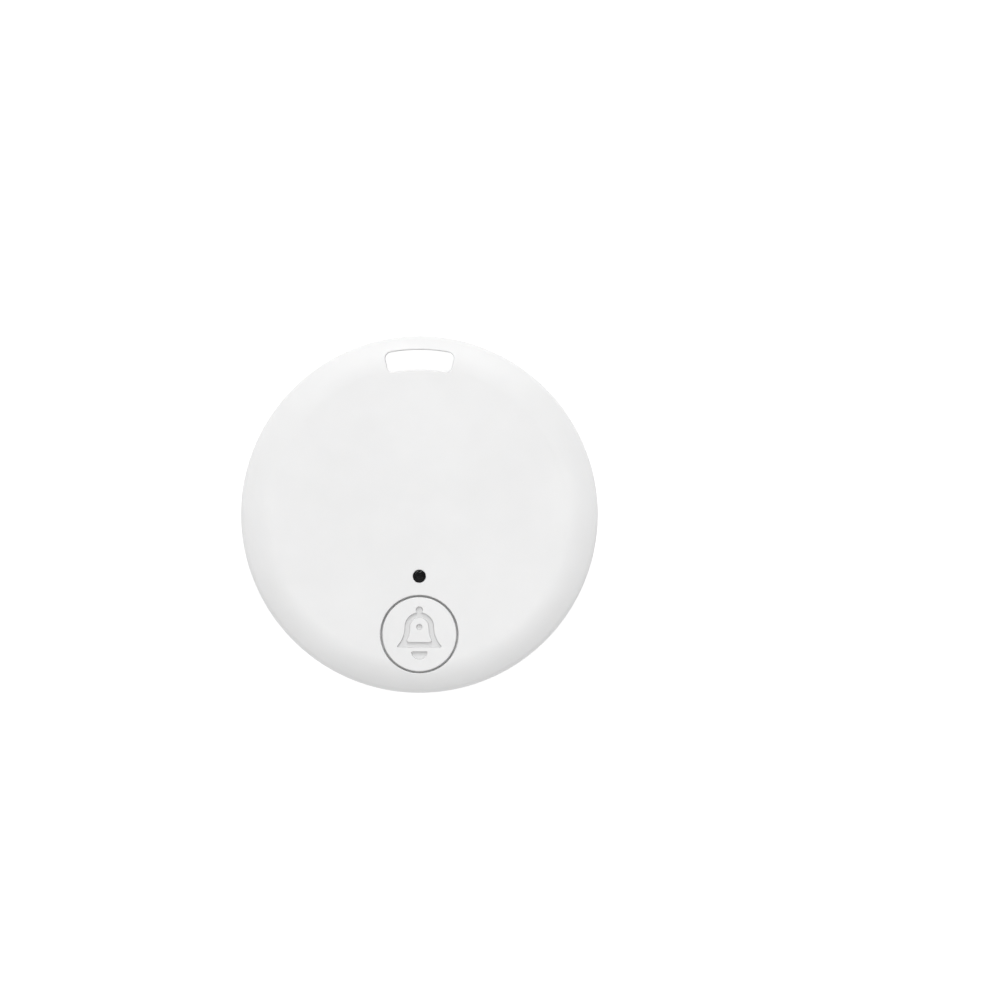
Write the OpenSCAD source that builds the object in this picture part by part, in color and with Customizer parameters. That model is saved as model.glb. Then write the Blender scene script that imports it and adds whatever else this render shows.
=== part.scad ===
// Round tracker tag: a two-part snap case with a press button, a sound hole and a lanyard slot,
// holding a horseshoe-shaped board, a sounder and a 2032 coin cell.
// The tag lies on its back face. +Z is out of the front face and +Y runs towards the lanyard slot.
// The origin is the middle of the back face.

/* [Case] */
// Outside diameter of the case
case_d = 37; // [36.8:0.1:38]
// Thickness of the closed case
case_t = 5; // [5:0.05:5.4]
// Height of the parting line above the back face
seam_z = 2.7; // [2.65:0.05:2.8]
// Thickness of the front face and of the back face
face_wall = 0.7; // [0.65:0.05:0.7]
// Thickness of the wall round the edge
edge_wall = 1; // [0.95:0.05:1.05]
// Radius of the flat part of each face
flat_r = 15.2; // [15.1:0.05:15.4]
// How far the rounding comes down from each face
rounding_h = 1.7; // [1.6:0.05:1.8]
// Angle at which the wide arc of the rounding meets the narrow one
rounding_turn = 34; // [33:1:35]

/* [Lanyard slot] */
// Distance from the middle of the case to the near side of the slot
slot_r_in = 15; // [14.9:0.05:15.1]
// Distance from the middle of the case to the far side of the slot
slot_r_out = 17.1; // [17:0.05:17.2]
// Half of the angle that the slot spans
slot_half_angle = 12.4; // [11:0.1:13]
// Radius of the slot's corners
slot_corner = 0.65; // [0.5:0.05:0.7]

/* [Button and ports] */
// Diameter of the button's face
button_d = 7.7; // [7.5:0.1:7.8]
// Gap between the button and its hole
button_gap = 0.2; // [0.15:0.01:0.22]
// Distance of the button from the middle of the case
button_out = 12.4; // [12.3:0.05:12.5]
// How far the button travels when it is pressed
button_travel = 0.2; // [0.15:0.01:0.2]
// Depth of the pictogram pressed into the button
pictogram_depth = 0.3; // [0.1:0.01:0.35]
// Diameter of the sound hole
sound_hole_d = 1.35; // [1:0.05:1.4]
// Distance of the sound hole from the middle of the case
sound_hole_out = 6.4; // [6.3:0.05:6.4]
// Direction of the pry notch, measured from +X towards +Y
pry_angle = 46; // [44:1:48]
// Length of the pry notch along the parting line
pry_w = 3.3; // [3:0.1:3.5]
// Height of the pry notch above the parting line
pry_h = 0.4; // [0.3:0.05:0.45]

/* [Coin cell] */
// Diameter of the coin cell
cell_d = 20; // [19.8:0.1:20]
// Distance of the coin cell from the middle of the case
cell_up = 3.6; // [3.5:0.05:3.7]

/* [Board] */
// Radius of the circuit board
board_r = 16.9; // [16.7:0.05:17]
// Thickness of the circuit board
board_t = 0.6; // [0.5:0.05:0.6]
// Height of the board's underside above the back face
board_z = 1.6; // [1.6:0.01:1.65]

/* [Hidden] */
$fn = 96;

// Case
case_r = case_d / 2;
mid_z = case_t / 2;
roof_z = case_t - face_wall;
cavity_r = case_r - edge_wall;
turn_sin = sin(rounding_turn);
turn_cos = cos(rounding_turn);
rounding_w = case_r - flat_r;
// The two arcs of the rounding meet smoothly and together span rounding_w and rounding_h
edge_r = (rounding_h * turn_sin - rounding_w * (1 - turn_cos))
    / (turn_cos * turn_sin - (1 - turn_sin) * (1 - turn_cos));
shoulder_r = (rounding_w - edge_r * (1 - turn_sin)) / turn_sin;
seam_round = 0.12;
// How far inner walls and bosses run into the face that carries them
root = face_wall / 2;
cut = 0.01;
far = 60;

// Tongue on the rear cover, the rebate it enters and the snap beads on it
tongue_t = 0.45;
tongue_h = 0.8;
tongue_gap = 0.05;
tongue_r = cavity_r + tongue_t;
bead_r = 0.13;
bead_z = seam_z + 0.45;
bead_span = 14;
bead_angles = [0, 125, 180, 235, 305];

// Solid block round the lanyard slot
block_wall = 0.65;
slot_overcut = 0.02;
block_half_angle = slot_half_angle + 3;
tongue_break = block_half_angle + 2;

// Pry notch
pry_below = 0.12;
pry_break = pry_w + 0.6;

// Button
button_r = button_d / 2;
button_hole_r = button_r + button_gap;
button_top = case_t - 0.03;
button_round = 0.12;
guide_t = 0.85;
guide_drop = 0.25;
flange_t = 0.3;
flange_top = roof_z - guide_drop - 0.05;
flange_z = flange_top - flange_t;
flange_r = button_hole_r + 0.55;
flange_limit_r = 16.5;
core_r = [1.4, 3.1];
core_h = 0.55;
nub_r = 0.8;

// Sound hole and its mesh
sound_mesh_r = 1.05;
sound_mesh_t = 0.12;

// Coin cell and the thin insulating film that it lies on
liner_t = 0.1;
liner_r = 7;
cell_r = cell_d / 2;
cell_z = face_wall + liner_t;
cell_h = 3.2;
well_gap = 0.2;
well_t = 0.6;
well_top = board_z - 0.1;
well_gap_half_angle = 15;

// Board
board_top = board_z + board_t;
board_cell_gap = 0.35;
board_end_y = 11.2;
screw_spots = [[12.9, 8], [-12.9, 8], [7.3, -13.4], [-7.3, -13.4]];
screw_r = 0.6;
screw_head_r = 1;
screw_head_h = 0.4;
screw_end = roof_z - 0.4;
recess = [1.3, 0.26, 0.2];
boss_r = 1.3;
pilot_gap = 0.02;

// Press switch under the button
switch_size = [4, 3];
switch_h = 0.55;
switch_well_r = 1.25;
switch_floor = 0.15;
frame_t = 0.1;
dome_r = 1.15;
dome_h = 0.25;
dome_t = 0.05;
plunger_r = 0.7;
plunger_collar_r = 1;
plunger_collar_h = 0.12;
plunger_z = board_top + switch_floor + dome_h + 0.02;
plunger_top = board_top + 0.95;
nub_z = plunger_top + 0.02;
terminal = [0.7, 0.5, 0.12];

// Sounder
buzzer_angle = 215;
buzzer_out = 12.6;
buzzer_side = 5;
buzzer_base_h = 0.3;
buzzer_h = 2;
buzzer_bore = 2.1;
buzzer_port_r = 0.5;

// Battery contacts
leaf_t = 0.12;
leaf_w = [3.2, 2];
leaf_z = cell_z + cell_h + 0.12;
riser_x = cell_r + 1.2;
clip_w = 3;
clip_h = 1.3;
pad_len = 2.6;

// Parts on the board: sizes are x, y and height, and places are on the board's underside
chip_size = [5, 5, 0.75];
chip_at = [9.5, -8];
crystal_size = [2.5, 2, 0.6];
crystal_at = [14.2, -3.4];
antenna_size = [1.6, 3.2, 0.8];
antenna_at = [14.6, 2.2];
driver_size = [1.6, 0.8, 0.7];
driver_at = [-10.6, -10.6];
capacitor_size = [1.6, 0.8, 0.8];
capacitor_spots = [[-13.4, -1.5, 90], [-13.4, -4, 90], [5.3, -10.2, 90], [13.6, -6.4, 60], [-6.2, -9.4, 0]];
resistor_size = [1, 0.5, 0.35];
resistor_spots = [[-8.2, -12, 0], [-8.4, -10.2, 90], [2.8, -9.3, 0], [5.4, -13, 90]];
inductor_size = [1, 0.6, 0.5];
inductor_spots = [[14.3, -0.8, 90], [13.2, -0.8, 90], [12.2, -5, 0]];
led_size = [1.6, 0.8];
led_base_h = 0.25;
led_h = 0.6;
led_out = 7.4;

// ---- Shapes that several parts share ----

// One half of the case's section right of its axis, from the back face up, inset from the surface
module half_section(inset) {
    shoulder = shoulder_r - inset;
    edge = edge_r - inset;
    meet = [flat_r + shoulder * turn_sin, shoulder_r - shoulder * turn_cos];
    reach = 2 * edge_r;
    polygon([[0, inset], [flat_r, inset], meet, [case_r - inset, rounding_h],
        [case_r - inset, mid_z], [0, mid_z]]);
    intersection() {
        translate([flat_r, shoulder_r]) circle(shoulder);
        polygon([[flat_r, mid_z], [flat_r, -1],
            [flat_r + (shoulder_r + 1) * tan(rounding_turn), -1],
            [flat_r + (shoulder_r - mid_z) * tan(rounding_turn), mid_z]]);
    }
    translate([case_r - edge_r, rounding_h])
        intersection() {
            circle(edge);
            polygon([[0, 0], [reach * turn_sin, -reach * turn_cos], [reach, -reach], [reach, 0]]);
        }
}

module case_section(inset = 0) {
    half_section(inset);
    translate([0, case_t]) mirror([0, 1]) half_section(inset);
}

// The case as one solid between two heights
module case_slice(z0, z1, inset = 0) {
    rotate_extrude()
        intersection() {
            case_section(inset);
            translate([0, z0]) square([case_r + 1, z1 - z0]);
        }
}

// The room inside the case
module cavity() {
    rotate_extrude()
        intersection() {
            case_section(face_wall);
            square([cavity_r, case_t]);
        }
}

module ring(r_in, r_out, z0, z1) {
    translate([0, 0, z0])
        difference() {
            cylinder(r = r_out, h = z1 - z0);
            translate([0, 0, -1]) cylinder(r = r_in, h = z1 - z0 + 2);
        }
}

// Wedge of the plane around a direction, with its point at the origin
module wedge(half_angle, direction = 90) {
    rotate(direction)
        polygon([[0, 0], far * [cos(half_angle), -sin(half_angle)], far * [cos(half_angle), sin(half_angle)]]);
}

module sector(r_in, r_out, half_angle) {
    intersection() {
        difference() {
            circle(r_out);
            circle(r_in);
        }
        wedge(half_angle);
    }
}

// Outline of the lanyard slot: a piece of a ring round the case's axis, with rounded corners.
// The corner circles reach a hair past the straight and curved sides, as a cutter run into a corner does.
module slot_outline() {
    near_r = slot_r_in + slot_corner;
    out_r = slot_r_out - slot_corner;
    near_angle = slot_half_angle - asin(slot_corner / near_r);
    out_angle = slot_half_angle - asin(slot_corner / out_r);
    sector(near_r, out_r, slot_half_angle);
    sector(slot_r_in, out_r, near_angle);
    sector(near_r, slot_r_out, out_angle);
    for (side = [-1, 1]) {
        rotate(side * near_angle) translate([0, near_r]) circle(slot_corner + slot_overcut);
        rotate(side * out_angle) translate([0, out_r]) circle(slot_corner + slot_overcut);
    }
}

module slot_cut() {
    translate([0, 0, -1]) linear_extrude(case_t + 2) slot_outline();
}

module slot_block(z0, z1) {
    translate([0, 0, z0])
        linear_extrude(z1 - z0)
            sector(slot_r_in - block_wall, cavity_r + 0.2, block_half_angle);
}

// Rounds the outer edge of the case where its halves meet: side is 1 above the parting line and -1 below
module seam_cut(side) {
    rotate_extrude()
        translate([case_r, seam_z])
            difference() {
                translate([-seam_round, side > 0 ? -cut : -seam_round])
                    square([2 * seam_round, seam_round + cut]);
                translate([-seam_round, side * seam_round]) circle(seam_round);
            }
}

// The strip round the case that the tongue takes, left out at the lanyard slot and wider by grow
module tongue_strip(r_in, r_out, z0, z1, grow) {
    difference() {
        ring(r_in, r_out, z0, z1);
        translate([0, 0, z0 - 1])
            linear_extrude(z1 - z0 + 2) wedge(tongue_break - grow);
    }
}

module bead_strip(r, span, radius) {
    for (a = bead_angles)
        rotate(a - span / 2)
            rotate_extrude(angle = span)
                translate([radius, bead_z]) circle(r);
}

module pry_cut(z0, z1, w, from_r) {
    rotate(pry_angle)
        translate([from_r, -w / 2, z0])
            cube([case_r + 1 - from_r, w, z1 - z0]);
}

module at_screws() {
    for (spot = screw_spots)
        translate(spot) children();
}

module rounded_plate(size, h, r) {
    linear_extrude(h) {
        square([size[0], size[1] - 2 * r], center = true);
        square([size[0] - 2 * r, size[1]], center = true);
        for (x = [-1, 1], y = [-1, 1])
            translate([x * (size[0] / 2 - r), y * (size[1] / 2 - r)]) circle(r);
    }
}

// A part soldered to the board's underside
module under_board(at, size, turn = 0) {
    translate([at[0], at[1], board_z - size[2]])
        rotate(turn)
            translate([-size[0] / 2, -size[1] / 2, 0]) cube(size);
}

module at_button() {
    translate([0, -button_out]) children();
}

module at_cell() {
    translate([0, cell_up]) children();
}

module at_buzzer() {
    rotate(buzzer_angle)
        translate([buzzer_out, 0, board_top]) children();
}

// ---- Case ----

module front_shell() {
    color("white")
        difference() {
            union() {
                difference() {
                    case_slice(seam_z, case_t);
                    cavity();
                }
                intersection() {
                    front_fittings();
                    case_slice(0, case_t, root);
                }
            }
            slot_cut();
            tongue_strip(cavity_r - 0.3, tongue_r + tongue_gap, seam_z - 1, seam_z + tongue_h + tongue_gap, 1);
            bead_strip(bead_r + 0.04, bead_span + 1, tongue_r + 0.02);
            at_button() translate([0, 0, roof_z - 1]) cylinder(r = button_hole_r, h = 3);
            translate([0, -sound_hole_out, roof_z - 1]) cylinder(d = sound_hole_d, h = 3);
            pry_cut(seam_z - 1, seam_z + pry_h, pry_w, cavity_r - 1);
            seam_cut(1);
            at_screws()
                translate([0, 0, board_top - 1])
                    cylinder(r = screw_r + pilot_gap, h = screw_end + 0.1 - board_top + 1);
        }
}

// Slot block, button guide and screw bosses, which all hang from the front face
module front_fittings() {
    slot_block(seam_z, case_t);
    at_button() ring(button_hole_r - 0.1, button_hole_r + guide_t, roof_z - guide_drop, case_t);
    at_screws() translate([0, 0, board_top]) cylinder(r = boss_r, h = case_t - board_top);
}

module rear_cover() {
    color("whitesmoke")
        difference() {
            union() {
                difference() {
                    case_slice(0, seam_z);
                    cavity();
                }
                tongue();
                intersection() {
                    slot_block(0, seam_z);
                    case_slice(0, case_t, root);
                }
                difference() {
                    at_cell() ring(cell_r + well_gap, cell_r + well_gap + well_t, root, well_top);
                    well_gaps();
                }
            }
            slot_cut();
            pry_cut(seam_z - pry_below, seam_z + 1, pry_w, cavity_r - 1);
            seam_cut(-1);
        }
}

// The tongue that enters the front half, with its snap beads
module tongue() {
    difference() {
        tongue_strip(cavity_r, tongue_r, seam_z - 0.5, seam_z + tongue_h, 0);
        pry_cut(seam_z - 0.6, seam_z + 2, pry_break, cavity_r - 1);
    }
    intersection() {
        bead_strip(bead_r, bead_span, tongue_r);
        ring(cavity_r + 0.1, case_r, seam_z, seam_z + tongue_h);
    }
}

// Openings in the wall round the cell, where fingertips reach it
module well_gaps() {
    for (direction = [0, 180, 270])
        at_cell()
            translate([0, 0, face_wall])
                linear_extrude(case_t) wedge(well_gap_half_angle, direction);
}

module button_cap() {
    color("white")
        at_button()
            difference() {
                union() {
                    translate([0, 0, flange_z + flange_t / 2])
                        cylinder(r = button_r, h = button_top - flange_z - flange_t / 2);
                    flange();
                    translate([0, 0, nub_z]) cylinder(r = nub_r, h = flange_z - nub_z + flange_t);
                }
                ring(core_r[0], core_r[1], flange_z - 1, flange_z + core_h);
                rotate_extrude()
                    translate([button_r, button_top])
                        difference() {
                            translate([-button_round, -button_round]) square(2 * button_round);
                            translate([-button_round, -button_round]) circle(button_round);
                        }
                translate([0, 0, button_top - pictogram_depth]) linear_extrude(1) pictogram();
            }
}

// The flange stops the button under its guide. It is cut short beside the case's edge, so it fits one way up.
module flange() {
    translate([0, 0, flange_z])
        linear_extrude(flange_t)
            intersection() {
                circle(flange_r);
                translate([0, button_out]) circle(flange_limit_r);
            }
}

// Outline of a bell, inset by the same distance all round
module bell(inset = 0) {
    dome = 1.5;
    dome_y = 0.75;
    hem_y = -1.35;
    flare = 2.9;
    difference() {
        union() {
            translate([0, dome_y]) circle(dome - inset);
            translate([-flare, hem_y + inset]) square([2 * flare, dome_y - hem_y - inset]);
        }
        for (side = [-1, 1])
            translate([side * (dome + flare), dome_y]) circle(flare + inset);
        for (side = [0, 1])
            mirror([side, 0])
                translate([dome, dome_y - cut]) square([2 * flare, dome]);
    }
}

// A bell: a sunken band round a level middle, a hem, a knob and a clapper
module pictogram() {
    band = 0.5;
    difference() {
        bell();
        bell(band);
    }
    translate([0, 2.5]) circle(0.36);
    translate([0, 0.75]) circle(0.3);
    difference() {
        translate([0, -1.8]) circle(0.82);
        translate([-1, -1.8]) square(2);
    }
}

module sound_mesh() {
    color([0.08, 0.08, 0.08])
        translate([0, -sound_hole_out, roof_z - sound_mesh_t])
            cylinder(r = sound_mesh_r, h = sound_mesh_t);
}

// ---- Board and its fasteners ----

module main_board() {
    color([0.05, 0.25, 0.15])
        translate([0, 0, board_z])
            linear_extrude(board_t)
                difference() {
                    circle(board_r);
                    at_cell() circle(cell_r + board_cell_gap);
                    translate([-far / 2, board_end_y]) square(far);
                    at_screws() circle(screw_r + 0.1);
                }
}

module board_screws() {
    color("silver")
        at_screws()
            difference() {
                translate([0, 0, board_z - screw_head_h]) {
                    cylinder(r = screw_head_r, h = screw_head_h);
                    cylinder(r = screw_r, h = screw_end - board_z + screw_head_h);
                }
                for (turn = [0, 90])
                    rotate(turn)
                        translate([-recess[0] / 2, -recess[1] / 2, board_z - screw_head_h - cut])
                            cube([recess[0], recess[1], recess[2] + cut]);
            }
}

// ---- Coin cell ----

// Turns a section, drawn from the cell's own underside, about the cell's axis
module turned_in_cell(points) {
    at_cell()
        translate([0, 0, cell_z])
            rotate_extrude() polygon(points);
}

module cell_can() {
    color("silver")
        turned_in_cell([[0, 0], [cell_r - 0.3, 0], [cell_r - 0.08, 0.08], [cell_r, 0.3],
            [cell_r, 2.55], [cell_r - 0.08, 2.78], [cell_r - 0.3, 2.9], [cell_r - 0.75, 2.95],
            [cell_r - 0.75, 2.77], [cell_r - 0.4, 2.65], [cell_r - 0.25, 2.4],
            [cell_r - 0.25, 0.35], [cell_r - 0.35, 0.25], [0, 0.25]]);
}

module cell_gasket() {
    color([0.12, 0.12, 0.13])
        turned_in_cell([[cell_r - 0.6, 0.28], [cell_r - 0.4, 0.28], [cell_r - 0.3, 0.38], [cell_r - 0.3, 2.38],
            [cell_r - 0.45, 2.6], [cell_r - 0.8, 2.73], [cell_r - 0.8, 2.98],
            [cell_r - 1.05, 3], [cell_r - 1.05, 2.65], [cell_r - 0.6, 2.35]]);
}

module cell_cap() {
    color("lightgray")
        turned_in_cell([[0, cell_h], [cell_r - 1.7, cell_h], [cell_r - 1.4, cell_h - 0.08],
            [cell_r - 1.15, 2.7], [cell_r - 1.1, 2.58], [cell_r - 0.65, 2.28], [cell_r - 0.65, 0.5],
            [cell_r - 0.9, 0.5], [cell_r - 0.9, 2.15], [cell_r - 1.35, 2.4], [cell_r - 1.6, 2.95], [0, 2.95]]);
}

module cell_core() {
    color([0.2, 0.2, 0.22])
        turned_in_cell([[0, 0.27], [cell_r - 0.95, 0.27], [cell_r - 0.95, 2.1],
            [cell_r - 1.4, 2.35], [cell_r - 1.65, 2.92], [0, 2.92]]);
}

module cell_liner() {
    color("dimgray")
        at_cell() translate([0, 0, face_wall]) cylinder(r = liner_r, h = liner_t);
}

// ---- Battery contacts ----

module negative_contact() {
    color("gold")
        at_cell() {
            translate([riser_x, -leaf_w[0] / 2, board_top]) cube([pad_len, leaf_w[0], leaf_t]);
            translate([riser_x, -leaf_w[0] / 2, board_top]) cube([leaf_t, leaf_w[0], leaf_z + leaf_t - board_top]);
            translate([0, 0, leaf_z])
                linear_extrude(leaf_t)
                    difference() {
                        union() {
                            polygon([[riser_x + leaf_t, -leaf_w[0] / 2], [riser_x + leaf_t, leaf_w[0] / 2],
                                [0, leaf_w[1] / 2], [0, -leaf_w[1] / 2]]);
                            circle(leaf_w[1] / 2);
                        }
                        translate([2.2, -0.25]) square([6.5, 0.5]);
                    }
            translate([0, 0, cell_z + cell_h + cut]) cylinder(r = 0.6, h = leaf_z - cell_z - cell_h);
        }
}

module positive_contact() {
    clip_x = cell_r + 0.05;
    color("gold")
        at_cell()
            mirror([1, 0, 0]) {
                translate([clip_x, -clip_w / 2, board_top]) cube([pad_len + 0.8, clip_w, leaf_t]);
                for (side = [0, 1])
                    mirror([0, side, 0])
                        translate([clip_x, 0.25, board_top]) cube([leaf_t, clip_w / 2 - 0.25, clip_h]);
            }
}

// ---- Press switch ----

module switch_base() {
    color([0.1, 0.1, 0.1])
        at_button()
            translate([0, 0, board_top])
                difference() {
                    rounded_plate(switch_size, switch_h, 0.3);
                    translate([0, 0, switch_floor]) cylinder(r = switch_well_r, h = switch_h);
                }
}

module switch_terminals() {
    color("silver")
        at_button()
            for (x = [0, 1], y = [0, 1])
                mirror([x, 0, 0])
                    mirror([0, y, 0])
                        translate([switch_size[0] / 2, 0.7, board_top]) cube(terminal);
}

module switch_dome() {
    ball_r = (dome_r * dome_r + dome_h * dome_h) / (2 * dome_h);
    color("silver")
        at_button()
            translate([0, 0, board_top + switch_floor])
                intersection() {
                    translate([0, 0, dome_h - ball_r])
                        difference() {
                            sphere(ball_r);
                            sphere(ball_r - dome_t);
                        }
                    cylinder(r = dome_r + 0.1, h = 1);
                }
}

module switch_plunger() {
    color("dimgray")
        at_button()
            translate([0, 0, plunger_z]) {
                cylinder(r = plunger_r, h = plunger_top - plunger_z);
                cylinder(r = plunger_collar_r, h = plunger_collar_h);
            }
}

module switch_frame() {
    color("silver")
        at_button()
            translate([0, 0, board_top + switch_h])
                difference() {
                    rounded_plate(switch_size, frame_t, 0.3);
                    translate([0, 0, -1]) cylinder(r = plunger_r + 0.1, h = 3);
                }
}

// ---- Status light ----

module led_base() {
    color("ivory")
        translate([-led_size[0] / 2, -led_out - led_size[1] / 2, board_top])
            cube([led_size[0], led_size[1], led_base_h]);
}

module led_lens() {
    color([0.9, 0.9, 0.7])
        translate([-led_size[0] / 3, -led_out - led_size[1] / 2, board_top + led_base_h])
            cube([led_size[0] * 2 / 3, led_size[1], led_h - led_base_h]);
}

// ---- Sounder ----

module buzzer_base() {
    color([0.1, 0.1, 0.1])
        at_buzzer() rounded_plate([buzzer_side, buzzer_side], buzzer_base_h, 0.4);
}

module buzzer_case() {
    color([0.1, 0.1, 0.1])
        at_buzzer()
            difference() {
                translate([0, 0, buzzer_base_h])
                    rounded_plate([buzzer_side, buzzer_side], buzzer_h - buzzer_base_h, 0.4);
                translate([0, 0, buzzer_base_h - 1]) cylinder(r = buzzer_bore, h = buzzer_h - buzzer_base_h + 0.75);
                translate([1, 0, 0]) cylinder(r = buzzer_port_r, h = buzzer_h + 1);
            }
}

module buzzer_diaphragm() {
    color("silver") at_buzzer() ring(0, buzzer_bore - 0.03, 1.3, 1.35);
}

module buzzer_magnet() {
    color("dimgray") at_buzzer() ring(1.55, buzzer_bore - 0.1, buzzer_base_h + 0.1, 1.2);
}

module buzzer_coil() {
    color("peru") at_buzzer() ring(0.55, 1.4, buzzer_base_h + 0.1, 1.1);
}

module buzzer_yoke() {
    color("silver")
        at_buzzer()
            translate([0, 0, buzzer_base_h]) {
                cylinder(r = buzzer_bore - 0.05, h = 0.1);
                cylinder(r = 0.5, h = 0.85);
            }
}

// ---- Parts soldered under the board ----

module radio_chip() {
    color([0.12, 0.12, 0.12])
        difference() {
            under_board(chip_at, chip_size);
            translate([chip_at[0] - 1.9, chip_at[1] + 1.9, board_z - chip_size[2] - 1])
                cylinder(r = 0.25, h = 1.05);
        }
}

module crystal() {
    color("silver") under_board(crystal_at, crystal_size);
}

module chip_antenna() {
    color("ivory") under_board(antenna_at, antenna_size);
}

module buzzer_driver() {
    color([0.12, 0.12, 0.12]) under_board(driver_at, driver_size);
}

module capacitors() {
    color("tan")
        for (spot = capacitor_spots)
            under_board(spot, capacitor_size, spot[2]);
}

module resistors() {
    color([0.15, 0.15, 0.15])
        for (spot = resistor_spots)
            under_board(spot, resistor_size, spot[2]);
}

module inductors() {
    color("lightsteelblue")
        for (spot = inductor_spots)
            under_board(spot, inductor_size, spot[2]);
}

front_shell();
rear_cover();
button_cap();
sound_mesh();
main_board();
board_screws();
cell_can();
cell_gasket();
cell_cap();
cell_core();
cell_liner();
negative_contact();
positive_contact();
switch_base();
switch_terminals();
switch_dome();
switch_plunger();
switch_frame();
led_base();
led_lens();
buzzer_base();
buzzer_case();
buzzer_diaphragm();
buzzer_magnet();
buzzer_coil();
buzzer_yoke();
radio_chip();
crystal();
chip_antenna();
buzzer_driver();
capacitors();
resistors();
inductors();
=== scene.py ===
"""Looks of the round tracker tag: its matt white case, its button and everything inside.

Shapes are drawn in millimetres and scaled to metres when a piece is finished.
"""
from math import acos, asin, atan2, cos, degrees, hypot, pi, radians, sin, sqrt, tan

import bmesh
import bpy
from mathutils import Matrix, Vector


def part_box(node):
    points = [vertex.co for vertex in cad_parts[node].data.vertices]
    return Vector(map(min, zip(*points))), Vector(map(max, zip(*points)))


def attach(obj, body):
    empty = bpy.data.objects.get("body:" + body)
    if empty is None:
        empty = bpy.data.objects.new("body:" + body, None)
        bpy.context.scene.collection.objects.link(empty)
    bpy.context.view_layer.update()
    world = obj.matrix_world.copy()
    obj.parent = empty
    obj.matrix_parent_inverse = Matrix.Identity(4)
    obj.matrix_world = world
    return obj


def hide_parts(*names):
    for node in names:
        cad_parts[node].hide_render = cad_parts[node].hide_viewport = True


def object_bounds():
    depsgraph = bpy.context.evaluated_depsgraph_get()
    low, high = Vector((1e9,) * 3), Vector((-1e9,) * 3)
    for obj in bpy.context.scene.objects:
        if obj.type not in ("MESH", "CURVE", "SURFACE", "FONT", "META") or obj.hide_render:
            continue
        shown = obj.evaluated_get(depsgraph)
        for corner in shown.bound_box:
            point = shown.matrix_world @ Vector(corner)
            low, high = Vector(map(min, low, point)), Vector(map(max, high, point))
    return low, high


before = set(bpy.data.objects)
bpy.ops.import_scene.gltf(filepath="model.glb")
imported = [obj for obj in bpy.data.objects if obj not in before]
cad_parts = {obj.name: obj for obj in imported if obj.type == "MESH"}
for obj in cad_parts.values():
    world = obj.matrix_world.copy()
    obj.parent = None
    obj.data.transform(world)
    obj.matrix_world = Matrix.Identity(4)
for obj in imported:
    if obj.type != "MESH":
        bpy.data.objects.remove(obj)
cad_low, cad_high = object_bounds()

MM = 0.001

# ---- Driving dimensions of the case, in millimetres ----

CASE_R = round(cad_high.x / MM, 2)
CASE_T = round(cad_high.z / MM, 2)
SEAM_Z = 2.7
FACE_WALL = 0.7
ROOF_Z = CASE_T - FACE_WALL
CAVITY_R = CASE_R - 1.0
FLAT_R = 15.2
ROUNDING_H = 1.7
TURN = radians(34)
ROUNDING_W = CASE_R - FLAT_R
EDGE_R = (ROUNDING_H * sin(TURN) - ROUNDING_W * (1 - cos(TURN))) / (
    cos(TURN) * sin(TURN) - (1 - sin(TURN)) * (1 - cos(TURN)))
SHOULDER_R = (ROUNDING_W - EDGE_R * (1 - sin(TURN))) / sin(TURN)
SEAM_ROUND = 0.12
ROOT_Z = CASE_T - FACE_WALL / 2
CASE_STEPS = 288

TONGUE_R = CAVITY_R + 0.45
TONGUE_TOP = SEAM_Z + 0.8
REBATE_R = TONGUE_R + 0.05
REBATE_TOP = TONGUE_TOP + 0.05
BEAD_Z = SEAM_Z + 0.45
BEAD_R = 0.13
BEAD_SPAN = 14
BEAD_ANGLES = (0, 125, 180, 235, 305)

SLOT_IN = 15.0
SLOT_OUT = 17.1
SLOT_HALF = radians(12.4)
SLOT_CORNER = 0.65
SLOT_LIP = 0.15
BLOCK_IN = SLOT_IN - 0.65
BLOCK_HALF = 15.4
BLOCK_OVERLAP = 0.25
TONGUE_BREAK = BLOCK_HALF + 2

BUTTON_Y = -12.4
BUTTON_R = 3.85
BUTTON_HOLE_R = 4.05
BUTTON_TOP = 4.97
BUTTON_LIP = 0.1
GUIDE_R = BUTTON_HOLE_R + 0.85
GUIDE_Z = ROOF_Z - 0.25

HOLE_Y = -6.4
HOLE_R = 0.675
HOLE_LIP = 0.12
LIGHT_Y = -7.4

PRY_ANGLE = radians(46)
PRY_W = 3.3
PRY_LOW = SEAM_Z - 0.12
PRY_HIGH = SEAM_Z + 0.4

CELL_Y = 3.6
CELL_R = 10.0
WELL_IN = CELL_R + 0.2
WELL_OUT = WELL_IN + 0.6
WELL_TOP = 1.5

BOARD_LOW = 1.6
BOARD_HIGH = 2.2
BOARD_R = 16.9
BOARD_CUT_R = CELL_R + 0.35
BOARD_END_Y = 11.2
SCREW_SPOTS = ((12.9, 8), (-12.9, 8), (7.3, -13.4), (-7.3, -13.4))
BOSS_R = 1.3
PILOT_R = 0.62
PILOT_TOP = 4.0

BUZZER_ANGLE = radians(215)
BUZZER_OUT = 12.6
BUZZER_SIDE = 5.0
VIA_R = 0.12

# Places on the board: x, y and a turn in degrees
CAPACITOR_SPOTS = ((-13.4, -1.5, 90), (-13.4, -4, 90), (5.3, -10.2, 90), (13.6, -6.4, 60), (-6.2, -9.4, 0))
RESISTOR_SPOTS = ((-8.2, -12, 0), (-8.4, -10.2, 90), (2.8, -9.3, 0), (5.4, -13, 90))
INDUCTOR_SPOTS = ((14.3, -0.8, 90), (13.2, -0.8, 90), (12.2, -5, 0))
VIAS = ((4.3, -8.6), (6.6, -11.7), (4.1, -14.6), (-4.9, -8.6), (-5.2, -11.6), (-4.1, -14.6), (11.2, -2.6),
        (15.4, -1.9), (-11.9, -0.6), (-15.4, -2.4), (11.6, 5.9), (-14.9, 5.9), (-11.3, -11.9))

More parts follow.
